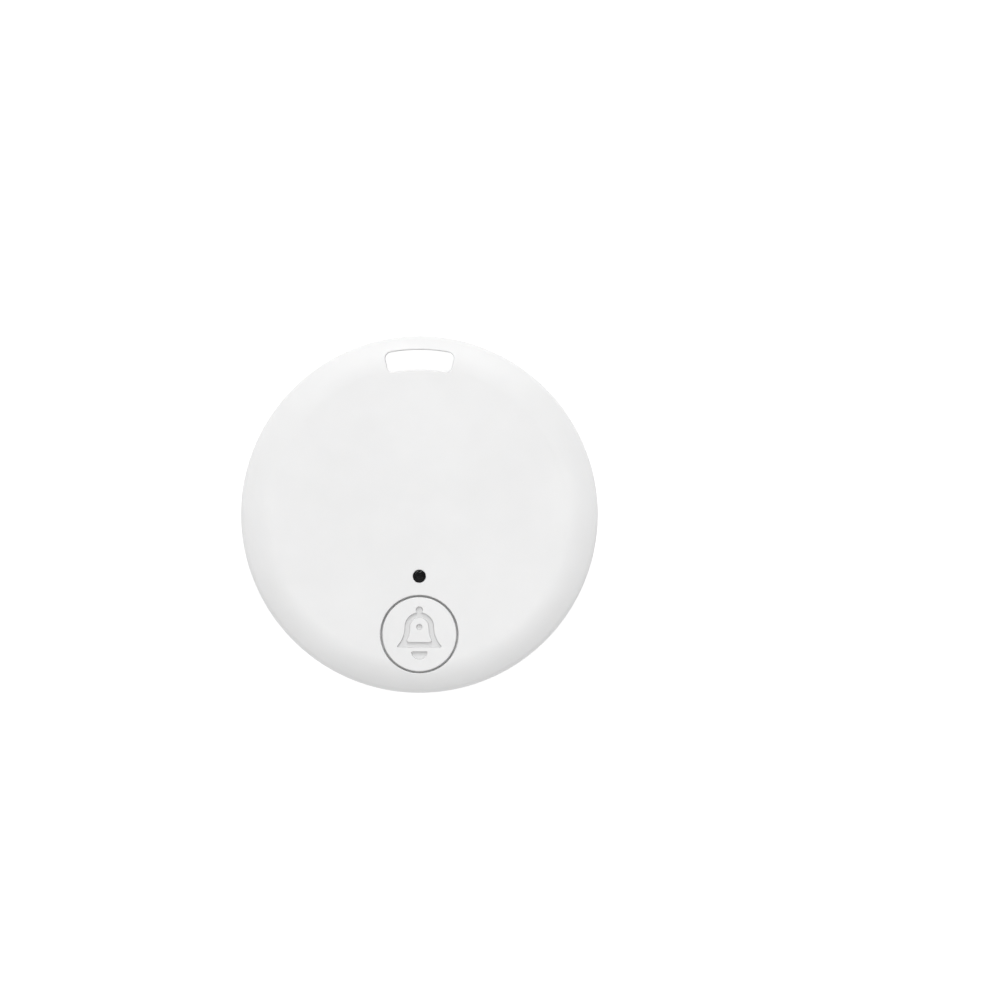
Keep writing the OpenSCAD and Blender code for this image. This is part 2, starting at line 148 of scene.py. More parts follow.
# Copper tracks, as a width and the points that each track runs through
TOP_TRACES = (
    (0.22, ((3.05, -11.45), (4.5, -11.45), (6.35, -9.6), (6.35, -7.6), (9.4, -4.55), (11.2, -2.75))),
    (0.22, ((3.05, -13.35), (3.6, -13.35), (4.1, -13.9), (4.1, -14.5))),
    (0.22, ((-3.05, -11.45), (-4.3, -11.45), (-5.1, -11.55))),
    (0.22, ((-3.05, -13.35), (-3.6, -13.35), (-4.1, -13.9), (-4.1, -14.5))),
    (0.22, ((1.15, -7.4), (3.1, -7.4), (4.2, -8.5))),
    (0.22, ((-1.15, -7.4), (-3.7, -7.4), (-4.8, -8.5))),
    (0.7, ((12.6, 1.95), (12.6, -1.0), (11.4, -2.4))),
    (0.35, ((13.5, 4.6), (14.5, 4.6), (15.2, 3.6), (15.4, -1.7))),
    (0.22, ((12.6, 5.2), (11.7, 5.8))),
    (0.7, ((-12.3, 2.0), (-12.0, 0.2), (-11.9, -0.4))),
    (0.35, ((-13.2, 2.9), (-14.1, 2.4), (-15.3, 0.6), (-15.4, -2.2))),
    (0.22, ((-13.2, 4.4), (-13.9, 4.6), (-14.8, 5.8))),
    (0.3, ((6.7, -11.7), (9.2, -11.7), (12.8, -8.1), (14.4, -6.5), (15.2, -2.2))),
    (0.3, ((-11.5, -10.1), (-11.3, -10.8), (-11.3, -11.7))),
    (0.3, ((-13.4, -7.4), (-14.7, -6.0), (-15.4, -4.2), (-15.4, -2.6))),
)
UNDER_TRACES = (
    (0.22, ((4.4, -8.6), (4.9, -8.25), (6.8, -8.25))),
    (0.22, ((6.6, -11.5), (6.5, -10.1), (6.8, -9.75))),
    (0.22, ((5.3, -9.3), (5.3, -8.95), (5.5, -8.75), (6.8, -8.75))),
    (0.22, ((3.4, -9.3), (3.8, -9.15), (4.2, -8.75))),
    (0.22, ((2.2, -9.3), (-3.9, -9.3), (-4.8, -8.7))),
    (0.22, ((-5.25, -9.4), (-5.0, -8.8))),
    (0.22, ((-7.1, -9.4), (-7.8, -9.4), (-8.4, -9.6))),
    (0.22, ((-5.2, -11.7), (-6.2, -12), (-7.6, -12))),
    (0.22, ((-8.4, -10.8), (-8.4, -11.4), (-7.7, -11.9))),
    (0.22, ((-8.8, -12), (-9.6, -12), (-10.1, -11.5), (-10.1, -11.2))),
    (0.22, ((-11.3, -11.8), (-11.1, -11.2))),
    (0.3, ((-13.4, -0.65), (-13.1, -0.5), (-12.0, -0.55))),
    (0.3, ((-13.4, -2.4), (-13.4, -3.1))),
    (0.3, ((-13.4, -4.9), (-13.4, -6.4), (-10.6, -9.2), (-10.6, -9.9))),
    (0.3, ((-15.3, -2.5), (-14.2, -2.7), (-13.4, -2.7))),
    (0.22, ((12.2, -6.75), (12.7, -6.85), (13.2, -7.1))),
    (0.22, ((14.05, -5.6), (14.2, -5.1), (14.2, -4.2))),
    (0.3, ((14.3, 0.6), (14.3, -0.25))),
    (0.22, ((13.2, -0.25), (13.5, 0.15), (14.2, 0.15))),
    (0.22, ((13.2, -1.4), (12.2, -2.6), (11.4, -2.6))),
    (0.22, ((14.3, -1.4), (14.8, -1.85), (15.2, -1.9))),
    (0.22, ((11.2, -2.8), (11.2, -4.5), (11.7, -5.0))),
    (0.22, ((12.8, -5.0), (13.2, -4.9), (13.5, -4.3))),
    (0.22, ((4.2, -14.5), (4.9, -13.85), (5.4, -13.6))),
    (0.22, ((5.4, -12.4), (5.4, -11.9), (5.3, -11.1))),
    (0.6, ((11.6, 5.7), (11.9, 4.2), (11.6, 1.2), (11.2, -2.3))),
    (0.6, ((-14.8, 5.7), (-13.4, 3.6), (-13.4, -0.6))),
)


# ---- Outlines ----

def arc(x, y, radius, start, end, steps):
    """Points along an arc, from one direction in radians to another."""
    turns = [start + (end - start) * i / steps for i in range(steps + 1)]
    return [Vector((x + radius * cos(a), y + radius * sin(a))) for a in turns]


def circle(x, y, radius, steps=48):
    return arc(x, y, radius, 0, 2 * pi, steps)[:-1]


def rounded(corners, steps=4):
    """A closed outline through corners given as (x, y, radius), each rounded by its radius."""
    points = []
    for i, (x, y, radius) in enumerate(corners):
        corner = Vector((x, y))
        if not radius:
            points.append(corner)
            continue
        back = (Vector(corners[i - 1][:2]) - corner).normalized()
        on = (Vector(corners[(i + 1) % len(corners)][:2]) - corner).normalized()
        half = acos(max(-1, min(1, back.dot(on)))) / 2
        centre = corner + (back + on).normalized() * (radius / sin(half))
        first = corner + back * (radius / tan(half)) - centre
        last = corner + on * (radius / tan(half)) - centre
        start = atan2(first.y, first.x)
        sweep = (atan2(last.y, last.x) - start + pi) % (2 * pi) - pi
        points += arc(centre.x, centre.y, radius, start, start + sweep, steps)
    return points


def rectangle(width, depth, corner=0.0, steps=4):
    w, d = width / 2, depth / 2
    return rounded([(-w, -d, corner), (w, -d, corner), (w, d, corner), (-w, d, corner)], steps)


def grown(outline, distance):
    """The outline moved outwards, or inwards where distance is negative."""
    if not distance:
        return list(outline)
    points = []
    for i, point in enumerate(outline):
        back = (point - outline[i - 1]).normalized()
        on = (outline[(i + 1) % len(outline)] - point).normalized()
        normal = Vector((back.y + on.y, -back.x - on.x))
        if normal.length < 1e-6:
            normal = Vector((on.y, -on.x))
        normal.normalize()
        stretch = max(0.5, normal.dot(Vector((on.y, -on.x))))
        points.append(point + normal * (distance / stretch))
    return points


def shifted(outline, x, y):
    return [p + Vector((x, y)) for p in outline]


def vectors(*places):
    return [Vector(place) for place in places]


# ---- Mesh building ----

def loft(bm, loops, capped=True):
    """A skin over closed loops of points that all have the same number of points."""
    rings = [[bm.verts.new(p) for p in loop] for loop in loops]
    count = len(rings[0])
    for a, b in zip(rings, rings[1:]):
        for i in range(count):
            j = (i + 1) % count
            bm.faces.new((a[i], a[j], b[j], b[i]))
    if capped:
        bm.faces.new(rings[0][::-1])
        bm.faces.new(rings[-1])


def level(outline, z, at=Matrix()):
    return [at @ Vector((p.x, p.y, z)) for p in outline]


def stack(bm, outline, layers, at=Matrix()):
    """A solid through copies of one outline, each given as (growth, height)."""
    loft(bm, [level(grown(outline, growth), z, at) for growth, z in layers])


def plate(bm, outline, low, high, top=0.0, bottom=0.0, at=Matrix(), steps=3):
    """An outline extruded from low to high, with its top and bottom edges rounded."""
    turns = [pi / 2 * i / steps for i in range(steps + 1)]
    layers = [(-bottom * (1 - sin(t)), low + bottom * (1 - cos(t))) for t in turns[:-1] if bottom]
    layers += [(0, low + bottom), (0, high - top)]
    layers += [(-top * (1 - cos(t)), high - top * (1 - sin(t))) for t in turns[1:] if top]
    stack(bm, outline, layers, at)


def block(bm, low, high, corner=0.05, edge=0.04, at=Matrix()):
    """A box between two corners with rounded edges all round."""
    low, high = Vector(low), Vector(high)
    middle = (low + high) / 2
    outline = [p + middle.xy for p in rectangle(high.x - low.x, high.y - low.y, corner, 3)]
    plate(bm, outline, low.z, high.z, edge, edge, at, 2)


def lathe(bm, profile, x=0.0, y=0.0, steps=96, start=0.0, span=2 * pi, at=Matrix()):
    """A closed outline of (radius, height) points turned round a vertical axis."""
    whole = span > 2 * pi - 1e-6
    columns = []
    poles = {i: bm.verts.new(at @ Vector((x, y, p.y))) for i, p in enumerate(profile) if p.x < 1e-6}
    for k in range(steps if whole else steps + 1):
        a = start + span * k / steps
        columns.append([poles.get(i) or bm.verts.new(at @ Vector((x + p.x * cos(a), y + p.x * sin(a), p.y)))
                        for i, p in enumerate(profile)])
    for k in range(steps):
        one, two = columns[k], columns[(k + 1) % len(columns)]
        for i in range(len(profile)):
            j = (i + 1) % len(profile)
            corners = list(dict.fromkeys((one[i], two[i], two[j], one[j])))
            if len(corners) > 2:
                bm.faces.new(corners)
    if not whole:
        bm.faces.new(columns[0])
        bm.faces.new(columns[-1][::-1])


def both_sides(path, width):
    """The two edges of a strip of a constant width along a line of points."""
    line = [Vector(p) for p in path]
    left, right = [], []
    for i, point in enumerate(line):
        back = (point - line[i - 1]).normalized() if i else (line[1] - point).normalized()
        on = (line[i + 1] - point).normalized() if i + 1 < len(line) else back
        normal = Vector((-back.y - on.y, back.x + on.x)).normalized()
        reach = normal * (width / 2 / max(0.5, normal.dot(Vector((-on.y, on.x)))))
        left.append(point + reach)
        right.append(point - reach)
    return left, right


def ribbon(bm, path, width, low, high):
    """A flat strip of a constant width along a line of (x, y) points."""
    left, right = both_sides(path, width)
    stack(bm, right + left[::-1], ((0, low), (0, high)))


def bent_strip(bm, path, width, thickness, at=Matrix()):
    """Sheet metal bent along a line of (x, z) points. Its width is one number or one for each point."""
    halves = [w / 2 for w in width] if isinstance(width, list) else [width / 2] * len(path)
    loft(bm, [[at @ p for p in vectors((a.x, -w, a.y), (a.x, w, a.y), (b.x, w, b.y), (b.x, -w, b.y))]
              for a, b, w in zip(*both_sides(path, thickness), halves)])


def made(build, *values, **settings):
    """A new mesh with one shape in it, which plate, block, lathe or another builder makes."""
    bm = bmesh.new()
    build(bm, *values, **settings)
    return bm


def to_object(bm, name):
    bmesh.ops.recalc_face_normals(bm, faces=bm.faces)
    mesh = bpy.data.meshes.new(name)
    bm.to_mesh(mesh)
    bm.free()
    obj = bpy.data.objects.new(name, mesh)
    bpy.context.scene.collection.objects.link(obj)
    return obj


def settle(obj):
    """Replaces the object's mesh by what its modifiers make of it."""
    depsgraph = bpy.context.evaluated_depsgraph_get()
    mesh = bpy.data.meshes.new_from_object(obj.evaluated_get(depsgraph))
    obj.modifiers.clear()
    old, obj.data = obj.data, mesh
    bpy.data.meshes.remove(old)


def combine(obj, operation, bm):
    """Joins a tool to an object, cuts it out, or keeps what they share."""
    tool = to_object(bm, "tool")
    modifier = obj.modifiers.new("shape", "BOOLEAN")
    modifier.operation = operation
    modifier.solver = "MANIFOLD"
    modifier.object = tool
    settle(obj)
    bpy.data.objects.remove(tool)


def cut(obj, bm):
    combine(obj, "DIFFERENCE", bm)


def smooth(obj, angle=32):
    """Smooth shading with sharp edges kept and large faces setting the normals."""
    obj.data.shade_smooth()
    obj.data.set_sharp_from_angle(angle=radians(angle))
    modifier = obj.modifiers.new("weights", "WEIGHTED_NORMAL")
    modifier.keep_sharp = True
    settle(obj)


def finish_piece(obj, body, material, slot, *nodes):
    """Scales a piece to metres, gives it its finish, hands it to its body and hides the CAD nodes that it
    stands for.
    """
    obj.data.transform(Matrix.Scale(MM, 4))
    obj.data.materials.clear()
    obj.data.materials.append(material)
    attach(obj, body)
    if nodes:
        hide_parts(*nodes)


def make_piece(bm, name, body, material, slot, *nodes, adds=(), cuts=()):
    """Makes a piece from a mesh, with other meshes added to it and then others cut out of it."""
    obj = to_object(bm, name)
    for tool in adds:
        combine(obj, "UNION", tool)
    for tool in cuts:
        cut(obj, tool)
    smooth(obj)
    finish_piece(obj, body, material, slot, *nodes)


def node_box(node):
    """A CAD node's lowest and highest corners, in millimetres."""
    low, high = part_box(node)
    return low / MM, high / MM


# ---- Materials ----

def shader(name, color, roughness, **inputs):
    """A material with a principled shader, its node tree and the shader."""
    material = bpy.data.materials.new(name)
    material.use_nodes = True
    bsdf = material.node_tree.nodes["Principled BSDF"]
    bsdf.inputs["Base Color"].default_value = (*color, 1)
    bsdf.inputs["Roughness"].default_value = roughness
    for socket, value in inputs.items():
        bsdf.inputs[socket.replace("_", " ")].default_value = value
    return material, material.node_tree, bsdf


def feed(tree, value, socket):
    """Sets a socket to a value, or links it where the value is another node's output."""
    if isinstance(value, bpy.types.NodeSocket):
        tree.links.new(value, socket)
    else:
        socket.default_value = value


def add(tree, kind, *values, **settings):
    """A node with its properties set, its named sockets fed, and its first sockets fed in order."""
    node = tree.nodes.new(kind)
    for key, value in settings.items():
        if hasattr(node, key):
            setattr(node, key, value)
        else:
            feed(tree, value, node.inputs[key.replace("_", " ")])
    for socket, value in zip(node.inputs, values):
        feed(tree, value, socket)
    return node


def object_place(tree, scale=(1, 1, 1)):
    """Places on the object, in metres times scale."""
    place = add(tree, "ShaderNodeTexCoord").outputs["Object"]
    return add(tree, "ShaderNodeMapping", Vector=place, Scale=scale).outputs["Vector"]


def noise(tree, place, scale, detail=3.0, roughness=0.55):
    return add(tree, "ShaderNodeTexNoise", Vector=place, Scale=scale, Detail=detail,
               Roughness=roughness).outputs["Fac"]


def ramp(tree, factor, *stops):
    """Colours or greys over a factor, as (position, colour) pairs."""
    node = add(tree, "ShaderNodeValToRGB", Fac=factor)
    for element, (position, color) in zip(node.color_ramp.elements, stops):
        element.position = position
        element.color = (*color, 1) if hasattr(color, "__len__") else (color, color, color, 1)
    return node.outputs["Color"]


def mixed(tree, factor, first, second):
    """Two colours, mixed by a factor."""
    node = add(tree, "ShaderNodeMix", data_type="RGBA", Factor=factor)
    feed(tree, first, node.inputs[6])
    feed(tree, second, node.inputs[7])
    return node.outputs[2]


def bump(tree, bsdf, height, strength, distance):
    node = add(tree, "ShaderNodeBump", Strength=strength, Distance=distance, Height=height)
    tree.links.new(node.outputs["Normal"], bsdf.inputs["Normal"])


def vary(tree, bsdf, socket, factor, *stops):
    """Drives one of the shader's sockets by a ramp over a factor."""
    tree.links.new(ramp(tree, factor, *stops), bsdf.inputs[socket])


def shade(color, strength):
    return tuple(min(1, c * strength) for c in color)


def moulded(name, color, roughness, spread=0.015, grain=0.004, soft=0.0):
    """Moulded plastic with a fine grain and faint drifts of shade. soft is how much light scatters in it."""
    material, tree, bsdf = shader(name, color, roughness, IOR=1.52, Subsurface_Weight=soft,
                                  Subsurface_Radius=(1.0, 0.95, 0.88), Subsurface_Scale=0.4 * MM)
    place = object_place(tree)
    low = tuple(max(0, c - spread) for c in color)
    high = tuple(min(1, c + spread) for c in color)
    vary(tree, bsdf, "Base Color", noise(tree, place, 120, 2), (0.3, low), (0.7, high))
    vary(tree, bsdf, "Roughness", noise(tree, place, 900, 4),
         (0.25, roughness - 0.05), (0.75, roughness + 0.05))
    bump(tree, bsdf, noise(tree, place, 9000, 3), 0.3, grain * MM)
    return material


def moulded_with_shaded_mark(name, color, floor, roughness, soft):
    """Moulded plastic with painted shade: everything more than 0.2 mm below the button's top, the floor of
    its sunken mark included, takes the darker floor colour in place of shade.
    """
    material = moulded(name, color, roughness, soft=soft)
    tree = material.node_tree
    base = tree.nodes["Principled BSDF"].inputs["Base Color"]
    place = add(tree, "ShaderNodeSeparateXYZ", object_place(tree))
    # Painted shade: the colour fades to the floor colour between 0.05 mm and 0.2 mm below the button's top
    unshaded_near_face = add(tree, "ShaderNodeMapRange", Value=place.outputs["Z"],
                    From_Min=(BUTTON_TOP - 0.2) * MM, From_Max=(BUTTON_TOP - 0.05) * MM)
    shaded_tone = mixed(tree, unshaded_near_face.outputs["Result"], (*floor, 1), base.links[0].from_socket)
    tree.links.new(shaded_tone, base)
    return material


def metal(name, color, roughness, brushed=(1, 1, 1)):
    """Bare or plated metal. brushed is the stretch of the brush marks along x, y and z."""
    material, tree, bsdf = shader(name, color, roughness, Metallic=1.0)
    marks = noise(tree, object_place(tree, brushed), 3500, 4, 0.65)
    vary(tree, bsdf, "Roughness", marks, (0.25, roughness * 0.75), (0.75, roughness * 1.25))
    stain = noise(tree, object_place(tree), 260, 3)
    vary(tree, bsdf, "Base Color", stain, (0.35, shade(color, 0.9)), (0.65, color))
    bump(tree, bsdf, marks, 0.25, 0.002 * MM)
    return material


def spun_metal(name, color, roughness, x, y):
    """Metal with fine circular marks round a vertical axis."""
    material, tree, bsdf = shader(name, color, roughness, Metallic=1.0)
    place = add(tree, "ShaderNodeTexCoord").outputs["Object"]
    centred = add(tree, "ShaderNodeVectorMath", place, (x * MM, y * MM, 0), operation="SUBTRACT")
    flat = add(tree, "ShaderNodeVectorMath", centred.outputs[0], (1, 1, 0), operation="MULTIPLY")
    radius = add(tree, "ShaderNodeVectorMath", flat.outputs[0], operation="LENGTH")
    rings = add(tree, "ShaderNodeTexNoise", noise_dimensions="1D", W=radius.outputs["Value"], Scale=9000.0,
                Detail=3.0).outputs["Fac"]
    vary(tree, bsdf, "Roughness", rings, (0.3, roughness * 0.8), (0.7, roughness * 1.25))
    blotch = noise(tree, place, 200, 3)
    vary(tree, bsdf, "Base Color", blotch, (0.35, shade(color, 0.92)), (0.65, color))
    bump(tree, bsdf, rings, 0.2, 0.002 * MM)
    return material


def board_finish(name, mask, core):
    """Solder mask on the two faces of a board and bare glass fibre on its edges."""
    material, tree, bsdf = shader(name, mask, 0.35, IOR=1.5)
    place = object_place(tree)
    normal = add(tree, "ShaderNodeSeparateXYZ", add(tree, "ShaderNodeNewGeometry").outputs["Normal"])
    upright = add(tree, "ShaderNodeMath", normal.outputs["Z"], operation="ABSOLUTE")
    facing = add(tree, "ShaderNodeMath", upright.outputs[0], 0.7, operation="GREATER_THAN")
    cover = ramp(tree, noise(tree, place, 300, 3), (0.3, shade(mask, 0.85)), (0.7, shade(mask, 1.15)))
    layers = ramp(tree, noise(tree, object_place(tree, (0.2, 0.2, 8)), 2500, 2),
                  (0.35, shade(core, 0.8)), (0.65, core))
    tree.links.new(mixed(tree, facing.outputs[0], layers, cover), bsdf.inputs["Base Color"])
    weave = add(tree, "ShaderNodeTexWave", wave_type="BANDS", bands_direction="DIAGONAL", Vector=place,
                Scale=1400.0, Distortion=1.5)
    bump(tree, bsdf, weave.outputs["Fac"], 0.15, 0.004 * MM)
    return material


def wound_wire(name, color):
    """Enamelled wire in close turns round the sounder's core."""
    material, tree, bsdf = shader(name, color, 0.3, Metallic=0.8)
    turns = add(tree, "ShaderNodeTexWave", wave_type="BANDS", bands_direction="Z", Vector=object_place(tree),
                Scale=9000.0).outputs["Fac"]
    # Painted shade: thin dark stripes at 0.45 of the wire colour mark the grooves between the turns; the bump
    # below gives the turns' real relief
    vary(tree, bsdf, "Base Color", turns, (0, shade(color, 0.45)), (0.6, color))
    bump(tree, bsdf, turns, 0.6, 0.03 * MM)
    return material


def resin(name, color):
    material, tree, bsdf = shader(name, color, 0.12, Transmission_Weight=0.75, IOR=1.5)
    cloud = noise(tree, object_place(tree), 2500, 3)
    vary(tree, bsdf, "Base Color", cloud, (0.3, color), (0.7, shade(color, 1.08)))
    bump(tree, bsdf, cloud, 0.1, 0.004 * MM)
    return material


WHITE = moulded("matt_white_case", (0.80, 0.80, 0.80), 0.5, soft=0.12)
# The button's second colour (0.68) is painted shade for the floor of its sunken mark
WHITE_BUTTON = moulded_with_shaded_mark("matt_white_button", (0.795, 0.795, 0.795), (0.68, 0.68, 0.68), 0.47, soft=0.12)
BLACK = moulded("black_moulding", (0.012, 0.012, 0.013), 0.42, 0.003)
MESH_BLACK = moulded("black_thread", (0.006, 0.006, 0.007), 0.85, 0.002)
GREY = moulded("grey_plunger", (0.09, 0.09, 0.095), 0.45, 0.01)
EPOXY = moulded("chip_epoxy", (0.014, 0.014, 0.016), 0.5, 0.004, 0.006)
NYLON = moulded("dark_nylon", (0.02, 0.02, 0.022), 0.38, 0.004)
FILM = moulded("liner_film", (0.03, 0.032, 0.036), 0.3, 0.004)
POWDER = moulded("pressed_powder", (0.05, 0.05, 0.055), 0.8, 0.01, 0.01)
MAGNET = moulded("sintered_magnet", (0.07, 0.07, 0.075), 0.6, 0.015, 0.01)
CERAMIC = moulded("pale_ceramic", (0.62, 0.63, 0.58), 0.45, 0.03, 0.006)
TAN_CERAMIC = moulded("tan_ceramic", (0.33, 0.2, 0.1), 0.4, 0.03, 0.006)
FERRITE = moulded("blue_grey_ferrite", (0.09, 0.11, 0.14), 0.5, 0.015, 0.008)
FILM_BLACK = moulded("resistor_film", (0.012, 0.012, 0.014), 0.3, 0.003, 0.003)
LED_WHITE = moulded("led_housing", (0.75, 0.74, 0.7), 0.4, 0.02)
STEEL = metal("plain_steel", (0.56, 0.56, 0.57), 0.32)
TIN = metal("bright_tin", (0.72, 0.71, 0.69), 0.25)
SPRING_GOLD = metal("gold_plating", (0.83, 0.62, 0.27), 0.22, (1, 6, 1))
PAD_GOLD = metal("pad_gold", (0.86, 0.66, 0.3), 0.3)
CELL_NICKEL = spun_metal("cell_nickel", (0.66, 0.65, 0.63), 0.24, 0, CELL_Y)
MASK = board_finish("green_solder_mask", (0.01, 0.075, 0.035), (0.42, 0.36, 0.2))
MASKED_COPPER = moulded("masked_copper", (0.03, 0.16, 0.07), 0.32, 0.012, 0.003)
COPPER_WIRE = wound_wire("copper_wire", (0.6, 0.24, 0.1))
RESIN = resin("led_resin", (0.88, 0.85, 0.6))


# ---- The case's surface ----

def drop(r):
    """How far the outer surface lies below the face at a distance from the axis."""
    if r <= FLAT_R:
        return 0.0
    if r <= FLAT_R + SHOULDER_R * sin(TURN):
        return SHOULDER_R - sqrt(SHOULDER_R ** 2 - (r - FLAT_R) ** 2)
    across = min(r - (CASE_R - EDGE_R), EDGE_R)
    return ROUNDING_H - sqrt(EDGE_R ** 2 - across ** 2)


def rounding(inset=0.0, r_limit=None):
    """The rounding's (radius, depth below the face) points from the flat face to the edge."""
    points = [Vector((FLAT_R + (SHOULDER_R - inset) * sin(t), SHOULDER_R - (SHOULDER_R - inset) * cos(t)))
              for t in [TURN * i / 14 for i in range(15)]]
    points += [Vector((CASE_R - EDGE_R + (EDGE_R - inset) * sin(t), ROUNDING_H - (EDGE_R - inset) * cos(t)))
               for t in [TURN + (pi / 2 - TURN) * i / 14 for i in range(1, 15)]]
    if r_limit is None:
        return points
    kept = [p for p in points if p.x < r_limit - 0.02]
    depth = SHOULDER_R - sqrt((SHOULDER_R - inset) ** 2 - (r_limit - FLAT_R) ** 2)
    return kept + [Vector((r_limit, depth))]


def skin_normal(point):
    """The outward normal of the case's outer surface at a point, or None away from the surface."""
    r = hypot(point.x, point.y)
    front = point.z > CASE_T / 2
    depth = CASE_T - point.z if front else point.z
    up = 1 if front else -1
    if depth > ROUNDING_H:
        lean, off = pi / 2, abs(r - CASE_R)
    elif r <= FLAT_R:
        lean, off = 0.0, abs(depth)
    else:
        lean = atan2(r - FLAT_R, SHOULDER_R - depth)
        off = abs(hypot(r - FLAT_R, SHOULDER_R - depth) - SHOULDER_R)
        if lean > TURN:
            lean = atan2(r - (CASE_R - EDGE_R), ROUNDING_H - depth)
            off = abs(hypot(r - (CASE_R - EDGE_R), ROUNDING_H - depth) - EDGE_R)
    if off > 0.004:
        return None
    if r < 1e-6:
        return Vector((0, 0, up))
    return Vector((point.x / r * sin(lean), point.y / r * sin(lean), up * cos(lean)))


def polish_skin(obj):
    """Gives the outer surface the exact normals of its profile, so that cuts don't disturb its shading."""
    mesh = obj.data
    normals = [corner.vector.copy() for corner in mesh.corner_normals]
    on_skin = [skin_normal(v.co) for v in mesh.vertices]
    for face in mesh.polygons:
        exact = [on_skin[v] for v in face.vertices]
        if all(n is not None and n.dot(face.normal) > 0.97 for n in exact):
            for corner, n in zip(face.loop_indices, exact):
                normals[corner] = n
    mesh.normals_split_custom_set(normals)


def slot_outline(grow=0.0):
    """The lanyard slot, anticlockwise from the left end of its inner side."""
    near_r, out_r = SLOT_IN + SLOT_CORNER, SLOT_OUT - SLOT_CORNER
    near_a = SLOT_HALF - asin(SLOT_CORNER / near_r)
    out_a = SLOT_HALF - asin(SLOT_CORNER / out_r)
    radius = SLOT_CORNER + grow
    up = pi / 2
    points = arc(0, 0, SLOT_IN - grow, up + near_a, up - near_a, 14)
    x, y = near_r * sin(near_a), near_r * cos(near_a)
    points += arc(x, y, radius, -up - near_a, -SLOT_HALF, 7)[1:]
    u, v = out_r * sin(out_a), out_r * cos(out_a)
    points += arc(u, v, radius, -SLOT_HALF, up - out_a, 7)
    points += arc(0, 0, SLOT_OUT + grow, up - out_a, up + out_a, 14)[1:]
    points += arc(-u, v, radius, up + out_a, pi + SLOT_HALF, 7)[1:]
    points += arc(-x, y, radius, pi + SLOT_HALF, pi + up + near_a, 7)[:-1]
    return points


def flared_cutter(outline_at, lip, far_z, front=True):
    """A cutter for a hole whose mouth rounds over into the outer surface.

    outline_at(grow) is the hole's outline grown by a distance, and far_z is where the cutter ends inside."""
    side = 1 if front else -1
    face = CASE_T if front else 0.0

    def ring(grow, below):
        return [Vector((p.x, p.y, face - side * (drop(p.length) + below))) for p in outline_at(grow)]

    bm = bmesh.new()
    loops = [level(outline_at(0), far_z)]
    for i in range(9):
        turn = radians(10 * i)
        loops.append(ring(lip * (1 - cos(turn)), lip * (1 - sin(turn))))
    brim = lip * 1.06
    loops.append(ring(brim, -0.02 * lip))
    loops.append(level(outline_at(brim), face + side))
    loft(bm, loops)
    return bm


def cylinder(x, y, radius, low, high, steps=48):
    return made(plate, circle(x, y, radius, steps), low, high)


def sector(inner, outer, half_angle, middle=90):
    """The outline of a piece of a ring round the case's axis. Angles are in degrees, from +X."""
    a, b = radians(middle - half_angle), radians(middle + half_angle)
    return arc(0, 0, outer, a, b, 24) + arc(0, 0, inner, b, a, 24)


def pry_cutter(low, high):
    return made(block, (CAVITY_R - 1, -PRY_W / 2, low), (CASE_R + 1, PRY_W / 2, high), 0.02, 0.09,
                Matrix.Rotation(PRY_ANGLE, 4, "Z"))


def bead_ring(radius, span):
    bm = bmesh.new()
    for middle in BEAD_ANGLES:
        section = [Vector((TONGUE_R + p.x, BEAD_Z + p.y)) for p in circle(0, 0, radius, 12)]
        lathe(bm, section, steps=20, start=radians(middle - span / 2), span=radians(span))
    return bm


# ---- The case's halves ----

def upper(section):
    """Points of (radius, depth below the face) as (radius, height) on the front half."""
    return [Vector((p.x, CASE_T - p.y)) for p in section]


def join_fittings(shell, fittings, section, root_z, far_z):
    """Adds fittings to half of the case, ending them in its wall. section is a line in the wall's middle."""
    obj = to_object(fittings, "fittings")
    room = vectors((0, root_z)) + section + vectors((section[-1].x, far_z), (0, far_z))
    combine(obj, "INTERSECT", made(lathe, room, steps=CASE_STEPS))
    added = bmesh.new()
    added.from_mesh(obj.data)
    bpy.data.objects.remove(obj)
    combine(shell, "UNION", added)


def front_shell():
    profile = vectors((0, CASE_T), (FLAT_R * 0.5, CASE_T)) + upper(rounding())
    profile += arc(CASE_R - SEAM_ROUND, SEAM_Z + SEAM_ROUND, SEAM_ROUND, 0, -pi / 2, 5)
    profile += vectors((REBATE_R, SEAM_Z), (REBATE_R, REBATE_TOP), (CAVITY_R, REBATE_TOP))
    profile += upper(rounding(FACE_WALL, CAVITY_R))[::-1] + vectors((0, ROOF_Z))
    shell = to_object(made(lathe, profile, steps=CASE_STEPS), "front_half")

    fittings = made(plate, sector(BLOCK_IN, CAVITY_R + BLOCK_OVERLAP, BLOCK_HALF), SEAM_Z, ROOT_Z)
    guide_in = BUTTON_HOLE_R - 0.1
    guide = rounded([(guide_in, GUIDE_Z, 0), (GUIDE_R, GUIDE_Z, 0.08), (GUIDE_R, ROOT_Z, 0),
                     (guide_in, ROOT_Z, 0)])
    lathe(fittings, guide, 0, BUTTON_Y, 96)
    boss = rounded([(0, BOARD_HIGH, 0), (BOSS_R, BOARD_HIGH, 0.1), (BOSS_R, ROOT_Z, 0), (0, ROOT_Z, 0)])
    for x, y in SCREW_SPOTS:
        lathe(fittings, boss, x, y, 48)
    join_fittings(shell, fittings, upper(rounding(FACE_WALL / 2)), ROOT_Z, 0.5)

    cut(shell, bead_ring(BEAD_R + 0.04, BEAD_SPAN + 1))
    cut(shell, flared_cutter(slot_outline, SLOT_LIP, SEAM_Z - 1))
    cut(shell, flared_cutter(lambda g: circle(0, BUTTON_Y, BUTTON_HOLE_R + g, 144), BUTTON_LIP, GUIDE_Z - 1))
    cut(shell, flared_cutter(lambda g: circle(0, HOLE_Y, HOLE_R + g, 64), HOLE_LIP, ROOF_Z - 0.5))
    cut(shell, pry_cutter(SEAM_Z - 1, PRY_HIGH))
    for x, y in SCREW_SPOTS:
        cut(shell, cylinder(x, y, PILOT_R, BOARD_HIGH - 1, PILOT_TOP, 32))
    smooth(shell, 28)
    polish_skin(shell)
    finish_piece(shell, "front", WHITE, "shell_plastic", "front_shell")


